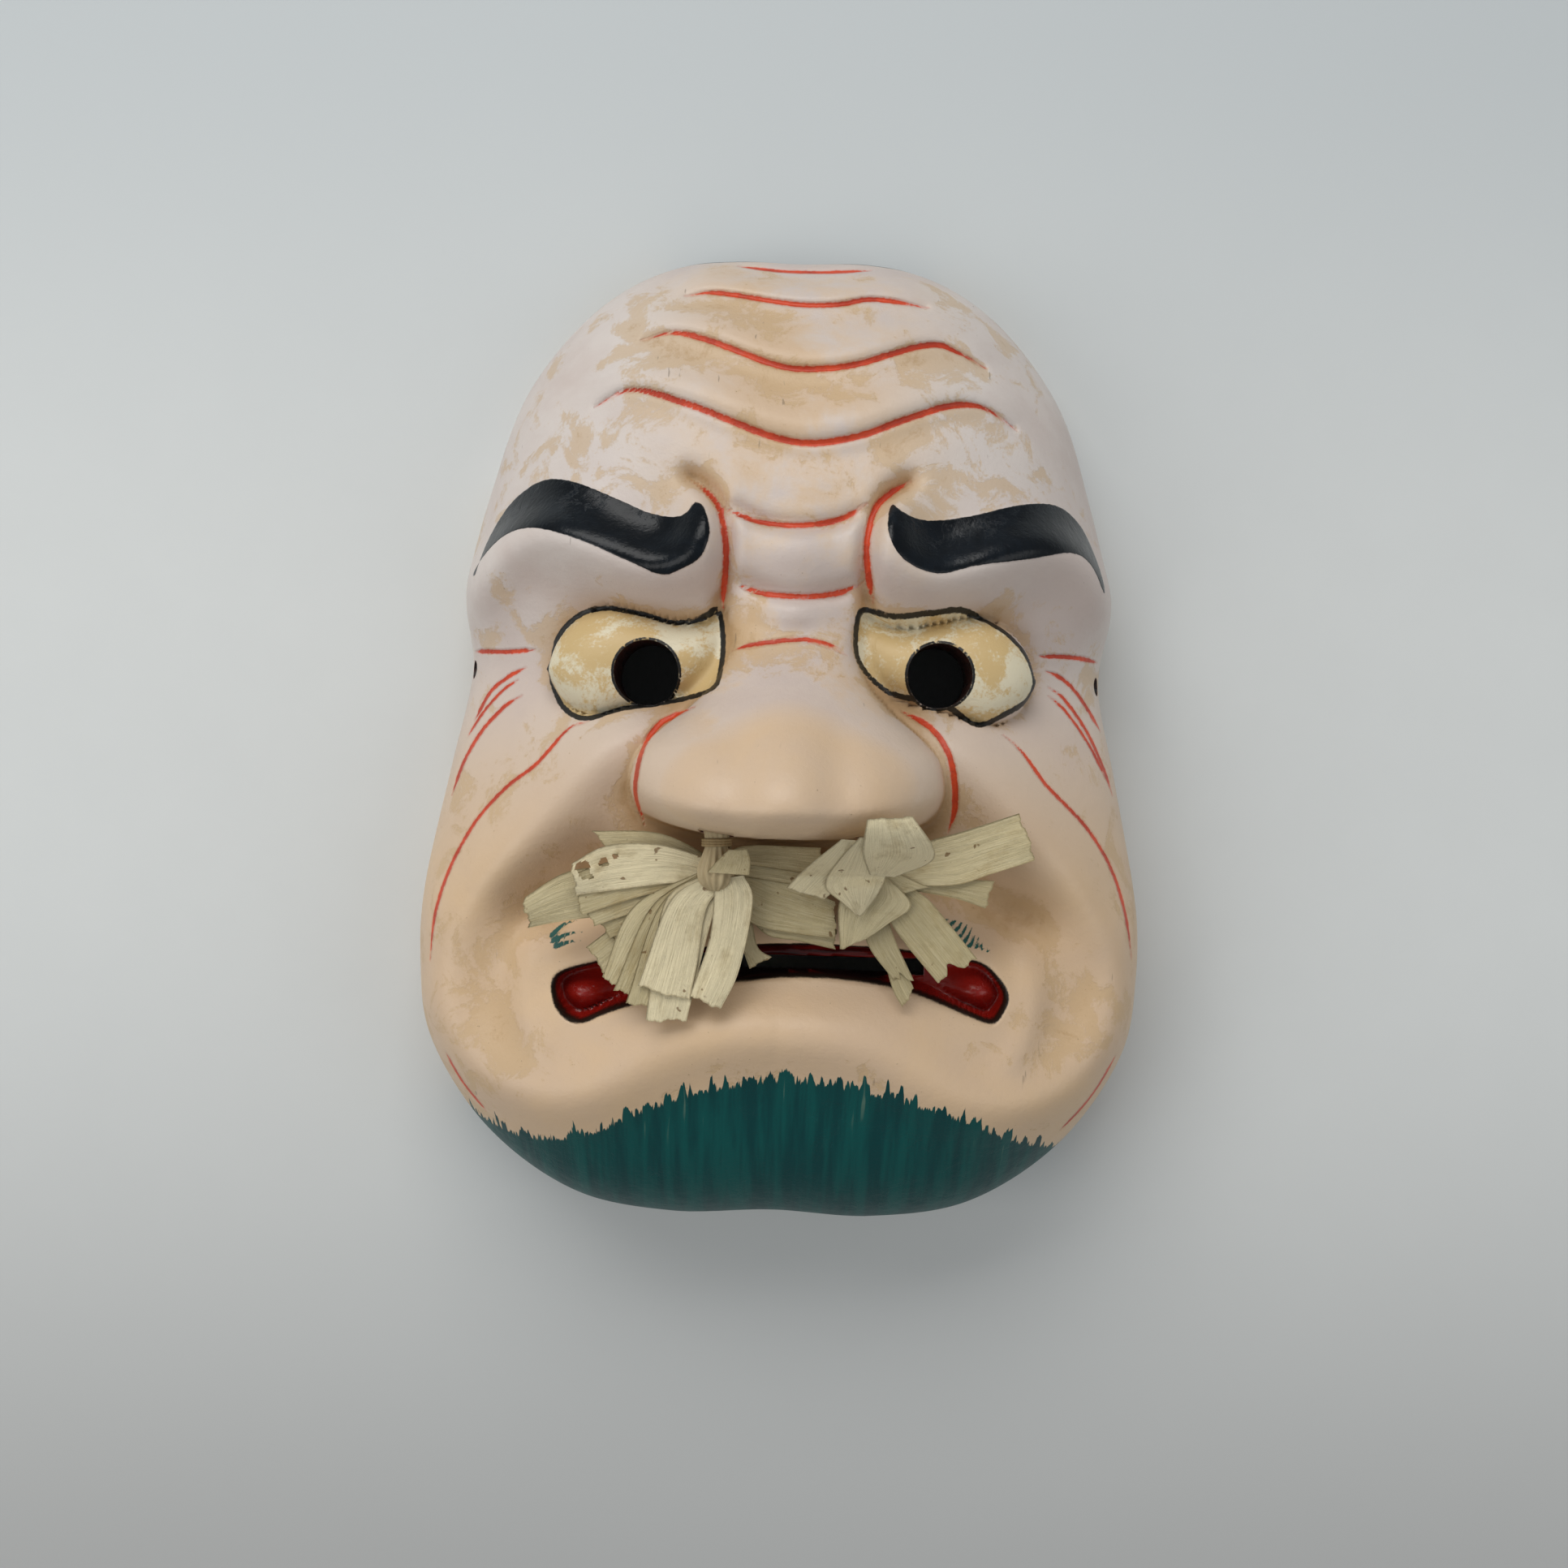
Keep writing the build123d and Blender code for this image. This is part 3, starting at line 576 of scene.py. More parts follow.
def cut_holes(mask):
    """Cuts the pupils, cord holes, mouth slit and nostrils, each with its own cutter."""
    cutters = []
    for i, (x, y) in enumerate(PUPILS):
        cutters.append(tube("pupil_cutter_%d" % i, (x, y, 20), (x, y, 90), PUPIL_RADIUS, 72))
    y, z, radius = CORD_HOLE
    for side in (-1, 1):
        cutters.append(tube("cord_cutter_%d" % side, (side*55, y, z), (side*85, y, z), radius, 32))
    cutters.append(block("slit_cutter", SLIT, (20, MOUTH_FLOOR+4)))
    half = STEM_RADIUS+NOSTRIL_GAP
    for side, x in STEM_X.items():
        plan = (x-half, x+half, NOSTRIL_MOUTH, SWING_Y+half)
        heights = (SWING_Z-half, SWING_Z+half)
        cutters.append(block(side+"_nostril_cutter", plan, heights, NOSTRIL_RISE))
    for cutter in cutters:
        cut = mask.modifiers.new("cut", "BOOLEAN")
        cut.operation = "DIFFERENCE"
        cut.solver = "EXACT"
        cut.object = cutter
    graph = bpy.context.evaluated_depsgraph_get()
    mesh = bpy.data.meshes.new_from_object(mask.evaluated_get(graph))
    mask.modifiers.clear()
    mask.data = mesh
    for cutter in cutters:
        bpy.data.objects.remove(cutter)


def paint_material():
    g = Graph("painted_wood")
    place = g.position()
    apart = g.node("ShaderNodeSeparateXYZ", {"Vector": place}).outputs
    crease = g.attribute("crease")
    wobble = g.math("MULTIPLY_ADD", g.noise(place, 900.0, 3.0), 0.5, -0.25)
    wobble_fine = g.math("MULTIPLY_ADD", g.noise(place, 2600.0, 2.0), 0.3, -0.15)
    broad = g.noise(place, 22.0, 5.0, 0.6, 0.3)
    patch = g.noise(place, 95.0, 8.0, 0.68, 0.5)
    fine = g.noise(place, 420.0, 5.0, 0.6)
    grit = g.noise(place, 1500.0, 3.0, 0.6)
    # aged ground: pinkish white above, peach below and on the nose, rubbed to tan in the creases, and
    # darkened further in deep creases as painted shade
    white = g.mix(g.step(broad, 0.35, 0.65), colour(205, 190, 182), colour(217, 207, 200))
    peach = g.mix(g.step(broad, 0.35, 0.65), colour(219, 188, 150), colour(212, 184, 154))
    low = g.math("MULTIPLY_ADD", broad, 0.05, g.math("MULTIPLY", apart["Y"], -1.0))
    on_nose = g.step(apart["Z"], 0.066, 0.076)
    middle = g.step(g.math("ABSOLUTE", apart["X"]), 0.04, 0.004)
    middle = g.math("MULTIPLY", middle, g.step(g.math("MULTIPLY_ADD", patch, 0.3, broad), 0.55, 0.75))
    warm = g.math("MAXIMUM", g.step(low, 0.0, 0.06), g.math("MULTIPLY", on_nose, 0.9))
    warm = g.math("MAXIMUM", warm, middle)
    ground = g.mix(warm, white, peach)
    tan = colour(200, 168, 122)
    worn = g.math("MULTIPLY_ADD", crease, 0.085, g.math("MULTIPLY_ADD", patch, 1.3, -0.75))
    worn = g.math("ADD", worn, g.math("MULTIPLY_ADD", broad, 0.9, -0.42))
    worn = g.math("ADD", worn, g.math("MULTIPLY_ADD", grit, 0.2, -0.1))
    ground = g.mix(g.math("MULTIPLY", g.step(worn, -0.03, 0.09), 0.55), ground, tan)
    ground = g.mix(g.math("MULTIPLY", g.step(worn, 0.16, 0.34), 0.45), ground, colour(176, 140, 92))
    # painted shade: darker brown the deeper a point lies in a crease
    ground = g.mix(g.math("MULTIPLY", g.step(crease, 0.3, 4.5), 0.5), ground, colour(166, 128, 84))
    speck = g.math("MULTIPLY", g.step(grit, 0.69, 0.74), g.step(patch, 0.48, 0.6))
    ground = g.mix(g.math("MULTIPLY", speck, 0.55), ground, colour(96, 74, 50))
    scratch = g.noise(g.scaled(place, 700.0, 90.0, 200.0), 1.0, 2.0, 0.5)
    nicks = g.math("MULTIPLY", g.step(scratch, 0.72, 0.76), g.step(broad, 0.5, 0.58))
    ground = g.mix(g.math("MULTIPLY", nicks, 0.5), ground, colour(110, 96, 80))
    # the eyes, rubbed yellow
    eye = g.math("ADD", g.attribute("eye"), wobble)
    rubbed = g.step(g.math("MULTIPLY_ADD", grit, 0.25, patch), 0.58, 0.7)
    yellow = g.mix(rubbed, colour(206, 178, 126), colour(222, 212, 184))
    ground = g.mix(g.step(eye, -0.1, 0.1), ground, yellow)
    # the mouth: bright and glossy at its corners, dark between
    lips = g.math("ADD", g.attribute("lips"), wobble_fine)
    streak = g.noise(g.scaled(place, 60.0, 700.0, 60.0), 1.0, 4.0, 0.6)
    corner = g.step(g.math("ABSOLUTE", g.math("SUBTRACT", apart["X"], 0.001)), 0.020, 0.034)
    dark_red = g.mix(g.step(streak, 0.42, 0.6), colour(70, 16, 12), colour(136, 26, 20))
    lip_red = g.mix(corner, dark_red, g.mix(patch, colour(168, 30, 20), colour(128, 24, 18)))
    ground = g.mix(g.step(lips, -0.15, 0.1), ground, lip_red)
    lip_line = g.math("SUBTRACT", g.math("MULTIPLY", patch, 0.75), g.math("ABSOLUTE", lips))
    ground = g.mix(g.step(lip_line, -0.2, 0.2), ground, colour(30, 22, 14))
    # the green chin and hairs, laid on in upright strokes
    stroke = g.noise(g.scaled(place, 430.0, 34.0, 34.0), 1.0, 3.0, 0.55)
    swing = g.math("ABSOLUTE", g.math("MULTIPLY_ADD", stroke, 2.0, -1.0))
    spikes = g.math("MULTIPLY_ADD", swing, 12.0, -3.2)
    chin = g.math("ADD", g.attribute("chin"), spikes)
    teal = g.mix(g.step(stroke, 0.35, 0.68), colour(0, 62, 63), colour(4, 80, 77))
    bald = g.math("MULTIPLY", g.step(stroke, 0.66, 0.72), g.step(g.attribute("chin"), 14.0, 2.0))
    teal = g.mix(g.math("MULTIPLY", bald, 0.5), teal, colour(120, 140, 120))
    ground = g.mix(g.step(chin, -0.3, 0.2), ground, teal)
    hair = g.math("ADD", g.attribute("hairs"), wobble_fine)
    ground = g.mix(g.step(hair, -0.1, 0.1), ground, colour(14, 84, 76))
    # lines and brows
    line = g.math("ADD", g.attribute("red"), wobble)
    red = g.mix(g.step(patch, 0.42, 0.6), colour(214, 74, 36), colour(186, 58, 30))
    ground = g.mix(g.math("MULTIPLY", g.step(line, -0.45, 0.1), 0.3), ground, red)
    ground = g.mix(g.step(line, -0.1, 0.14), ground, red)
    outline = g.math("ADD", g.attribute("outline"), wobble)
    ground = g.mix(g.step(outline, -0.1, 0.12), ground, colour(30, 28, 24))
    ink = g.math("ADD", g.attribute("black"), g.math("MULTIPLY", wobble, 0.7))
    inky = g.step(ink, -0.08, 0.1)
    ground = g.mix(inky, ground, g.mix(g.step(patch, 0.4, 0.7), colour(8, 13, 18), colour(18, 25, 32)))
    ring = g.step(g.math("ADD", g.attribute("ring"), wobble_fine), -0.08, 0.08)
    ground = g.mix(ring, ground, colour(14, 12, 10))
    band = g.step(g.math("ADD", g.attribute("crown"), wobble), -0.15, 0.2)
    ground = g.mix(band, ground, colour(28, 32, 30))
    wood = g.noise(g.scaled(place, 30.0, 6.0, 30.0), 12.0, 6.0, 0.6)
    bare = g.mix(wood, colour(74, 46, 26), colour(110, 74, 44))
    ground = g.mix(g.attribute("back"), ground, bare)
    wet = g.math("MAXIMUM", inky, g.step(lips, 0.0, 0.6))
    rough = g.math("MULTIPLY_ADD", fine, 0.2, 0.34)
    rough = g.math("SUBTRACT", rough, g.math("MULTIPLY", wet, 0.22))
    height = g.math("ADD", g.math("MULTIPLY", fine, 0.3), g.math("MULTIPLY", g.step(line, -0.5, 0.4), -0.7))
    height = g.math("ADD", height, g.math("MULTIPLY", g.step(ink, -0.3, 0.3), 0.35))
    height = g.math("ADD", height, g.math("MULTIPLY", g.step(worn, 0.0, 0.09), -0.12))
    on_chin = g.step(chin, -0.3, 0.3)
    height = g.math("ADD", height, g.math("MULTIPLY", on_chin, g.math("MULTIPLY", stroke, 0.5)))
    height = g.math("ADD", height, g.math("MULTIPLY", grit, 0.12))
    sheen = g.math("MULTIPLY_ADD", g.math("MAXIMUM", inky, on_chin), -0.2, 0.45)
    return g.surface(Base_Color=ground, Roughness=rough, Normal=g.bump(height, 0.8, 0.0005),
                     Specular_IOR_Level=sheen)


# ---- the tufts -----------------------------------------------------------------------------------

LAYER = 0.5                        # height from one strip to the next, as in the CAD model
STRIP = 0.3                        # thickness of a leaf strip
STRIP_ROWS = 72
STRIP_COLUMNS = 26
EDGE_POINTS = 200                  # points that each long edge is measured into

# Each strip's level in the tuft, then its two long edges from the knot to the tip.
STRIPS = {
    "left_strip_collar": (8, [(-14, -28.5), (-12, -26), (-10, -24)],
                             [(-6, -28.8), (-5.8, -26), (-6.5, -23.8)]),
    "left_strip_single": (3, [(-12.6, -30), (-13.3, -41), (-17, -53)],
                          [(-7, -29), (-5.2, -34), (-7.5, -47.5), (-11, -55.5)]),
    "left_strip_bundle_1": (2, [(-14.8, -29.5), (-21.5, -35), (-27.2, -51.5)],
                            [(-11, -31), (-14.2, -36), (-15.6, -46), (-17, -54)]),
    "left_strip_bundle_2": (1, [(-15, -29), (-22.5, -35.5), (-25.5, -58.5)],
                            [(-11, -31), (-13.6, -40), (-17.5, -58)]),
    "left_strip_bundle_3": (0, [(-15, -28.7), (-23.5, -36), (-29.5, -55)],
                            [(-11, -31), (-15.5, -42), (-21, -56.5)]),
    "left_strip_bundle_4": (-1, [(-15, -28.5), (-25, -36), (-32, -52.5)],
                            [(-11, -31), (-17, -42), (-25.5, -55)]),
    "left_strip_bundle_5": (-2, [(-15, -28.3), (-28.5, -36), (-34.5, -50.5)],
                            [(-11, -31), (-19, -40), (-29.5, -52.5)]),
    "left_strip_fan_1": (-3, [(-14, -26.2), (-24, -23.6), (-34, -24.2), (-41, -28)],
                         [(-12.5, -31.5), (-20, -31), (-30, -32.4), (-40, -34)]),
    "left_strip_fan_2": (-4, [(-14, -26.8), (-27, -25.5), (-40.5, -29.8)],
                         [(-12.5, -32), (-24, -33), (-39, -38)]),
    "left_strip_fan_3": (-5, [(-14, -27.2), (-27, -28), (-40, -33)],
                         [(-12.5, -32), (-23, -35), (-36.5, -40.2)]),
    "left_strip_fan_4": (-6, [(-14.5, -27.4), (-26, -31), (-37.5, -36)],
                         [(-12, -31.5), (-21, -37), (-33.5, -42.5)]),
    "left_strip_fan_5": (-7, [(-14.5, -28), (-25, -33), (-36, -37.8)],
                         [(-12, -31.5), (-20, -39), (-31, -45)]),
    "left_strip_under": (-8, [(-14.5, -29.5), (-27, -36), (-38, -44.5)],
                         [(-12, -32), (-22, -42), (-33.5, -51)]),
    "left_strip_folded": (-8, [(-13, -26.2), (-24, -21.5), (-37.5, -21.4)],
                          [(-14, -29), (-24, -27), (-33, -26)]),
    "left_strip_curled": (-10, [(-15, -28), (-30, -28.5), (-41.5, -29.5), (-51, -35.5)],
                          [(-14.5, -31), (-27, -36.5), (-43, -39.5), (-49.5, -41)]),
    "left_strip_tongue": (-9, [(-12, -31), (-9, -38), (-7, -44), (-5.5, -48)],
                          [(-8.5, -31), (-5.5, -38), (-4, -43.5), (-1, -45.5)]),
    "left_strip_across_1": (-6, [(-10, -27.8), (-5.5, -28), (3, -30.8), (11, -34)],
                            [(-11, -31.5), (-5.5, -38.5), (3, -40.4), (11.5, -41.2)]),
    "left_strip_across_2": (-8, [(-10, -29), (-5, -31), (4, -33.5), (11.5, -37)],
                            [(-9, -33), (-3, -40.5), (4, -42), (11.5, -43.5)]),
    "left_strip_nose_1": (-4, [(-11, -25.5), (-6.5, -23.4), (8, -23.4)],
                          [(-11, -28), (-6.5, -27.2), (7.5, -28.8)]),
    "left_strip_nose_2": (-5, [(-11, -27), (-6, -25.6), (6, -26)],
                              [(-11, -29.2), (-5.5, -29.7), (4, -31)]),
    "right_strip_cross": (0.2, [(14.2, -20.6), (11, -25), (8.6, -30.5), (12, -33.8), (15.2, -36.5)],
                          [(16.8, -20.5), (19, -24), (20.3, -28), (18.4, -32.5), (15.8, -36.5)]),
    "right_strip_fold": (-0.8, [(11, -21), (6, -25.8), (1, -31.5)],
                               [(14.2, -21.2), (14, -27.5), (8.5, -33.5)]),
    "right_strip_lapel": (-2, [(19.5, -27), (14.5, -31), (11.5, -34), (12, -43.5)],
                          [(20.5, -28.5), (25.5, -34), (21, -38), (17, -41)]),
    "right_strip_patch": (-3, [(19.5, -26.5), (24, -28.4), (29, -30.5)],
                              [(18.5, -31), (21, -31.6), (23.5, -32)]),
    "right_strip_long": (-4, [(20, -26), (27.5, -22), (36, -19.2), (46.5, -15.5)],
                         [(20, -30.5), (33.5, -30), (41, -27.6), (50, -24.5)]),
    "right_strip_tail_1": (-5, [(20, -27), (27, -31.5), (30.5, -34.5), (39.5, -45)],
                           [(17.5, -30), (23, -39.5), (31.5, -49.5)]),
    "right_strip_side": (-6, [(20, -27), (33.5, -28.6), (42, -29)],
                             [(20, -30.5), (33.5, -32.5), (40.5, -34.5)]),
    "right_strip_tail_2": (-7, [(17, -30), (17, -41), (23, -49.5)],
                               [(20.5, -30.5), (22, -39), (27, -49.5)]),
    "right_strip_tail_3": (-8, [(17, -30), (22, -49), (25, -55)], [(21, -30.5), (22, -40), (27, -51)]),
    "right_strip_crest": (1.2, [(17, -28), (15, -23), (15.4, -17)],
                               [(22, -28.5), (28.5, -24), (23.5, -16.2)]),
}
LIFTED = ("right_strip_crest", "right_strip_cross", "right_strip_fold")
# strips painted paler as a painted highlight, where light falls on them
HIGHLIGHT_PAINTED = LIFTED+("left_strip_bundle_1", "left_strip_bundle_2", "left_strip_fan_1", "left_strip_single")
NOTCHED = ("right_strip_tail_1", "right_strip_tail_2")
HOLES = {"left_strip_fan_1": [(-38.4, -28.6, 1.2), (-38.0, -29.8, 0.8), (-34.3, -27.4, 0.7),
                              (-36.6, -30.2, 0.35), (-32.2, -26.2, 0.35)]}
FLAT_CURL = 0.12                   # how far a strip's middle lifts at its tip, unless it is listed here
CURL = {"left_strip_fan_1": 0.8, "left_strip_single": 0.9, "left_strip_bundle_1": 0.7,
        "left_strip_curled": 0.9, "right_strip_long": 0.6, "right_strip_tail_1": 0.8,
        "right_strip_tail_3": 0.6, "left_strip_across_1": 0.6, "right_strip_crest": 0.3}


def bed(y):
    return 64.5-2.0*ease((-y-29)/22)


def lifted(y):
    return profile(y, [(-40, 64.6), (-30, 65.4), (-28, 68), (-26, 72.6), (-24, 77.4), (-21.5, 82.2),
                       (-19, 84.6), (-16, 85.4), (-12, 85.6)])


def resampled(points, count):
    line = curve(points, 16) if len(points) > 2 else np.linspace(points[0], points[1], 33)
    gaps = np.linalg.norm(np.diff(line, axis=0), axis=1)
    along = np.concatenate([[0], np.cumsum(gaps)])
    t = np.linspace(0, along[-1], count)
    return np.stack([np.interp(t, along, line[:, k]) for k in (0, 1)], 1)


def hash_wave(t, index):
    """A repeatable wavy line for one strip, about -1 to 1."""
    k = 1.7*index
    return 0.5*np.sin(9*t+k)+0.3*np.sin(23*t+2.3*k)+0.2*np.sin(61*t+3.1*k)


def strip_reach(name, t, index):
    """How far along itself a strip reaches at each place across it: ragged, or torn into notches."""
    reach = 0.985+0.015*hash_wave(t, index)
    if name in NOTCHED:
        reach = reach-0.09*np.exp(-((t-0.55)/0.13)**2)-0.03*np.exp(-((t-0.15)/0.1)**2)
    return reach


def strip_height(name, x, y, along, t, index):
    """The strip's underside: its layer, with a slight wave, a curl at the tip and raised edges."""
    z = (lifted(y) if name in LIFTED else bed(y))+STRIPS[name][0]*LAYER
    if name in LIFTED:
        z = z+2.5*np.exp(-((x-STEM_X["right"])/4)**2-((y+30.6)/2.4)**2)
    z = z+0.07*np.sin(x*1.3+index)*np.sin(y*1.1+2*index)*ease(along*3)
    z = z+CURL.get(name, FLAT_CURL)*ease((along-0.55)/0.45)*np.sin(math.pi*t)[None, :]
    return z+0.1*(2*np.abs(t-0.5))[None, :]**3*ease(along*2)


def holed(points, faces, holes):
    """The faces that no worm hole takes away."""
    gone = np.zeros(len(points), bool)
    for hx, hy, radius in holes:
        turn = np.arctan2(points[:, 1]-hy, points[:, 0]-hx)
        wave = radius*(1+0.2*np.sin(3*turn+hx))
        gone |= np.hypot(points[:, 0]-hx, points[:, 1]-hy) < wave
    return [tuple(int(v) for v in face) for face in faces if not any(gone[v] for v in face)]


def make_strip(name, index, material):
    """A leaf strip: a sheet ruled between its two long edges, closed all round."""
    t = np.linspace(0, 1, STRIP_COLUMNS)
    left, right = [resampled(edge, EDGE_POINTS) for edge in STRIPS[name][1:]]
    reach = strip_reach(name, t, index)
    along = np.linspace(0, 1, STRIP_ROWS)[:, None]*reach[None, :]
    at = np.clip(along*(EDGE_POINTS-1), 0, EDGE_POINTS-1.001)
    k = at.astype(int)
    share = (at-k)[..., None]
    on_left = left[k]*(1-share)+left[k+1]*share
    on_right = right[k]*(1-share)+right[k+1]*share
    plan = on_left+(on_right-on_left)*t[None, :, None]
    x = plan[..., 0]
    y = plan[..., 1]
    z = strip_height(name, x, y, along, t, index)
    top = np.stack([x, y, z+STRIP], -1).reshape(-1, 3)
    low = np.stack([x, y, z], -1).reshape(-1, 3)
    count = len(top)
    faces = list(grid_faces(STRIP_ROWS, STRIP_COLUMNS))
    faces += list(grid_faces(STRIP_ROWS, STRIP_COLUMNS, count, flip=True))
    edge = border_of(STRIP_ROWS, STRIP_COLUMNS)
    for p, q in zip(edge, np.roll(edge, -1)):
        faces.append((q, p, p+count, q+count))
    points = np.vstack([top, low])
    width = np.linalg.norm(on_right-on_left, axis=-1)
    side = np.minimum(t, 1-t)[None, :]*width
    tip = (reach[None, :]-along)*np.linalg.norm(left[-1]-left[0])
    # the pale value marks the strips painted paler as a painted highlight
    attributes = {"along": np.tile(along.ravel(), 2), "across": np.tile(t, 2*STRIP_ROWS),
                  "edge": np.tile(np.minimum(side, tip).ravel(), 2),
                  "seed": np.full(2*count, index*3.7), "pale": np.full(2*count, float(name in HIGHLIGHT_PAINTED))}
    obj = new_object("leaf_"+name, points*MM, holed(points, faces, HOLES.get(name, ())), attributes)
    obj.data.materials.append(material)
    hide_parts(name)
    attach(obj, name.split("_")[0]+"_tuft")


def turned(name, centre, rings, sides, pleats):
    """A shape turned about a line along Y, pressed into pleats, from (y, radius, pleat depth) rings."""
    x0, z0 = centre
    points = []
    angle = np.linspace(0, 2*math.pi, sides, endpoint=False)
    for y, radius, depth in rings:
        r = radius*(1-depth*(0.5+0.5*np.cos(pleats*angle+0.6*np.sin(3*angle))))
        points.append(np.stack([x0+r*np.cos(angle), np.full(sides, y), z0+r*np.sin(angle)], -1))
    points = np.vstack(points)
    faces = []
    for i in range(len(rings)-1):
        for j in range(sides):
            k = (j+1) % sides
            faces.append((i*sides+j, i*sides+k, (i+1)*sides+k, (i+1)*sides+j))
    last = (len(rings)-1)*sides
    faces.append(tuple(range(sides))[::-1])
    faces.append(tuple(range(last, last+sides)))
    return new_object(name, points*MM, faces)


def make_stem(side, material):
    """A rolled stem out of the nostril, nipped in by the thread and swelling into the pleated knot."""
    swell = 1.0 if side == "left" else 0.62
    rings = curve([(-11.4, 1.6, 0.02), (-12.2, 2.6, 0.04), (-16, 2.75, 0.05), (-20, 2.65, 0.06),
                   (-22.4, 2.35, 0.1), (-23.8, 2.3, 0.12), (-25.5, 2.9*swell, 0.14),
                   (-28, 3.7*swell, 0.16), (-30.5, 3.3*swell, 0.18), (-32.2, 1.6, 0.2)], 4)
    obj = turned("stem_"+side, (STEM_X[side], SWING_Z), rings, 96, 14)
    obj.data.materials.append(material)
    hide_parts(side+"_stem")
    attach(obj, side+"_tuft")


THREAD = 0.3                       # radius of the thread
THREAD_TURN = 2.65                 # radius of its turns round the stem
THREAD_TURNS = 3
THREAD_START = -22.2               # where the first turn begins along the stem
THREAD_WIDTH = 1.5                 # how far along the stem the turns run


def make_thread(side, material):
    """Turns of thread round the stem, laid side by side."""
    sides = 64
    ring = 10
    count = sides*THREAD_TURNS+1
    points = []
    for i in range(count):
        angle = 2*math.pi*i/sides
        y = THREAD_START-THREAD_WIDTH*i/(sides*THREAD_TURNS)
        for j in range(ring):
            turn = 2*math.pi*j/ring
            r = THREAD_TURN+THREAD*math.cos(turn)
            points.append((STEM_X[side]+r*math.cos(angle), y+THREAD*math.sin(turn),
                           SWING_Z+r*math.sin(angle)))
    faces = []
    for i in range(count-1):
        for j in range(ring):
            k = (j+1) % ring
            faces.append((i*ring+j, i*ring+k, (i+1)*ring+k, (i+1)*ring+j))
    faces.append(tuple(range(ring))[::-1])
    faces.append(tuple(range((count-1)*ring, count*ring)))
    obj = new_object("thread_"+side, np.array(points)*MM, faces)
    obj.data.materials.append(material)
    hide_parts(side+"_thread")
    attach(obj, side+"_tuft")


def leaf_material():
    g = Graph("dry_leaf")
    seed = g.attribute("seed")
    place = g.node("ShaderNodeCombineXYZ", {"X": g.attribute("along"), "Y": g.attribute("across"),
                                            "Z": seed}).outputs[0]
    fibres = g.noise(g.scaled(place, 4.0, 34.0, 1.0), 1.0, 6.0, 0.7)
    veins = g.noise(g.scaled(place, 2.0, 90.0, 1.0), 1.0, 2.0, 0.5)
    blotch = g.noise(g.scaled(place, 3.2, 1.6, 1.0), 1.0, 5.0, 0.65)
    crinkle = g.noise(g.position(), 1100.0, 4.0, 0.65)
    tone = g.node("ShaderNodeTexWhiteNoise", {"W": seed}, noise_dimensions="1D").outputs["Value"]
    base = g.mix(tone, colour(212, 197, 156), colour(186, 170, 128))
    # painted highlight: the listed lit strips get a paler colour
    base = g.mix(g.attribute("pale"), base, colour(236, 222, 184))
    base = g.mix(g.math("MULTIPLY", g.step(fibres, 0.35, 0.7), 0.4), base, colour(232, 220, 184))
    base = g.mix(g.math("MULTIPLY", g.step(veins, 0.5, 0.75), 0.3), base, colour(170, 152, 108))
    base = g.mix(g.math("MULTIPLY", g.step(blotch, 0.5, 0.72), 0.55), base, colour(178, 156, 110))
    spots = g.step(g.noise(g.position(), 420.0, 2.0), 0.69, 0.74)
    base = g.mix(g.math("MULTIPLY", spots, 0.75), base, colour(112, 76, 34))
    # painted shade: each strip darkens towards its edges and tip, where it meets the strips beside and
    # beneath it
    edge = g.math("ADD", g.attribute("edge"), g.math("MULTIPLY_ADD", crinkle, 0.6, -0.3))
    base = g.mix(g.math("MULTIPLY", g.step(edge, 0.45, 0.05), 0.45), base, colour(132, 112, 72))
    height = g.math("ADD", g.math("MULTIPLY", fibres, 0.5), g.math("MULTIPLY", crinkle, 0.8))
    height = g.math("ADD", height, g.math("MULTIPLY", g.step(veins, 0.45, 0.7), 0.2))
    return g.surface(Base_Color=base, Roughness=0.75, Normal=g.bump(height, 0.8, 0.0004),
                     Specular_IOR_Level=0.25)


def plain_material(name, dark, light, scale):
    g = Graph(name)
    grain = g.noise(g.scaled(g.position(), 1.0, 0.2, 1.0), scale, 4.0, 0.6)
    return g.surface(Base_Color=g.mix(grain, dark, light), Roughness=0.7,
                     Normal=g.bump(grain, 0.5, 0.0003))


# ---- stage ---------------------------------------------------------------------------------------

def make_floor():
    mesh = bpy.data.meshes.new("table_top")
    work = bmesh.new()
    bmesh.ops.create_grid(work, x_segments=1, y_segments=1, size=6.0)
    work.to_mesh(mesh)
    work.free()
    floor = bpy.data.objects.new("table_top", mesh)
    bpy.context.scene.collection.objects.link(floor)
    g = Graph("table_top")
    grain = g.noise(g.position(), 60.0, 6.0, 0.6)
    apart = g.node("ShaderNodeSeparateXYZ", {"Vector": g.position()}).outputs
    pale = g.mix(grain, colour(216, 219, 218), colour(220, 223, 222))
    # painted shade: the table top is painted darker towards -y, below the chin, and a little darker and
    # cooler towards +y
    pale = g.mix(g.step(apart["Y"], -0.02, -0.24), pale, colour(174, 175, 174))
    pale = g.mix(g.step(apart["Y"], 0.02, 0.19), pale, colour(196, 202, 204))
    mesh.materials.append(g.surface(Base_Color=pale, Roughness=0.6))
    return floor


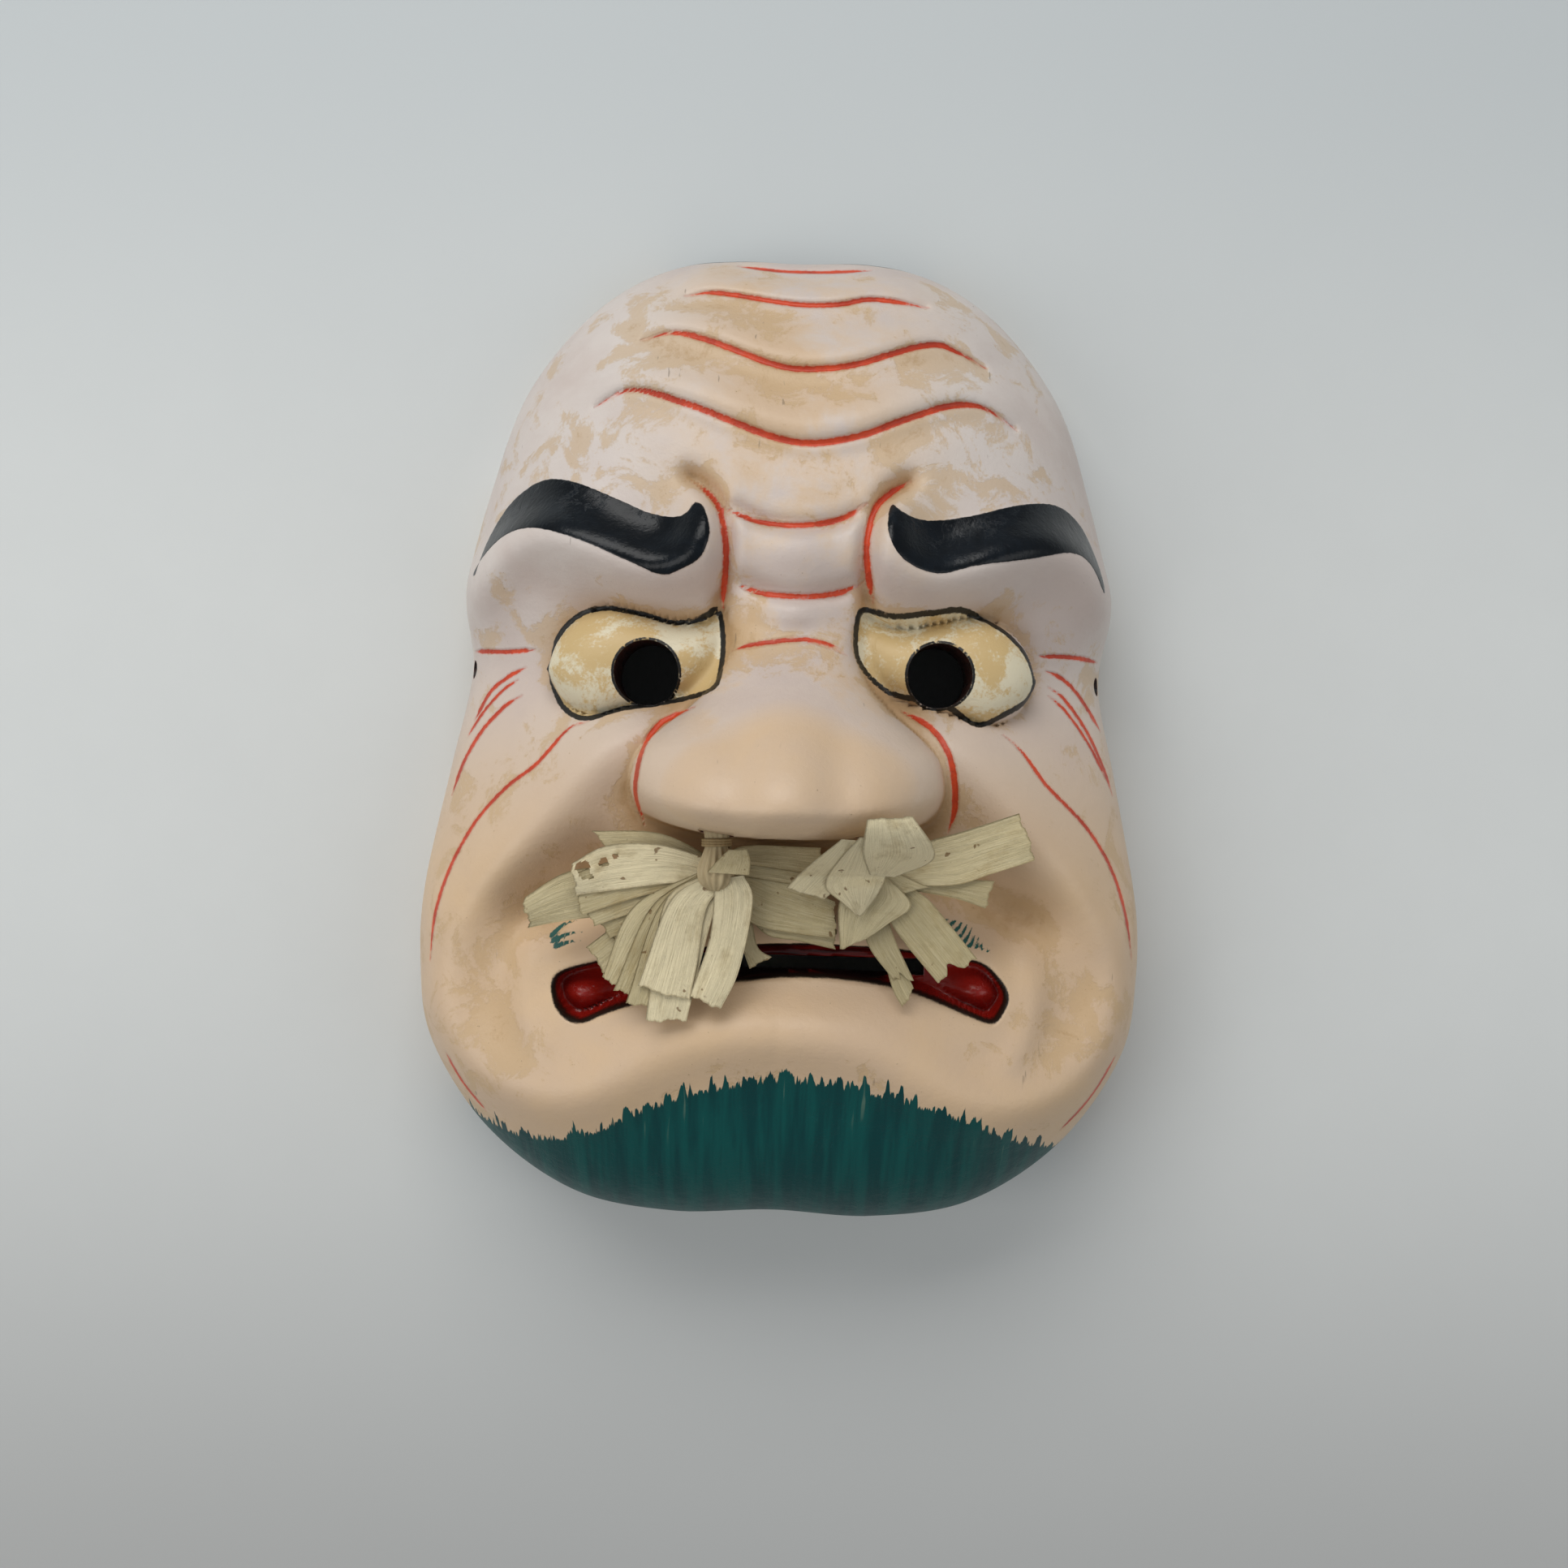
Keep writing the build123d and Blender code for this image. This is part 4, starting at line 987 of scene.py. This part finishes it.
def make_light(name, place, aim, size, energy, tint=(1, 1, 1)):
    data = bpy.data.lights.new(name, "AREA")
    data.shape = "RECTANGLE"
    data.size = size[0]
    data.size_y = size[1]
    data.energy = energy
    data.color = tint
    lamp = bpy.data.objects.new(name, data)
    lamp.location = place
    way = mathutils.Vector(aim)-mathutils.Vector(place)
    lamp.rotation_euler = way.to_track_quat("-Z", "Y").to_euler()
    bpy.context.scene.collection.objects.link(lamp)
    return lamp


def make_stage():
    scene = bpy.context.scene
    scene.view_settings.view_transform = "Standard"
    make_floor()
    make_light("window", (-0.3, 0.95, 1.0), (0, 0, 0.03), (1.3, 0.7), 11.0, (1.0, 0.99, 0.97))
    make_light("left_fill", (-1.2, -0.35, 1.1), (0, 0, 0), (0.9, 1.2), 7.0, (1.0, 0.985, 0.96))
    make_light("right_fill", (1.2, -0.3, 1.1), (0, 0, 0), (0.9, 1.2), 3.6, (1.0, 0.99, 0.97))
    world = bpy.data.worlds.new("room")
    world.use_nodes = True
    world.node_tree.nodes["Background"].inputs[0].default_value = (0.92, 0.96, 1.0, 1.0)
    world.node_tree.nodes["Background"].inputs[1].default_value = 0.28
    scene.world = world


def make_camera():
    data = bpy.data.cameras.new("camera")
    data.sensor_width = 36.0
    data.lens = 36.0*2091/1932
    data.clip_start = 0.01
    camera = bpy.data.objects.new("camera", data)
    camera.location = (0.0002, -0.0112, 0.393)
    camera.rotation_euler = (0, 0, math.radians(1.6))
    bpy.context.scene.collection.objects.link(camera)
    bpy.context.scene.camera = camera
    return camera


def main():
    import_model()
    make_camera()
    make_stage()
    mask = make_mask()
    mask.data.materials.clear()
    mask.data.materials.append(paint_material())
    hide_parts("mask_shell")
    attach(mask, "mask")
    leaf = leaf_material()
    for index, name in enumerate(STRIPS):
        make_strip(name, index, leaf)
    stem = plain_material("stem_leaf", colour(150, 128, 90), colour(205, 188, 150), 600.0)
    thread = plain_material("binding_thread", colour(120, 96, 60), colour(180, 156, 112), 2500.0)
    for side in ("left", "right"):
        make_stem(side, stem)
        make_thread(side, thread)


main()
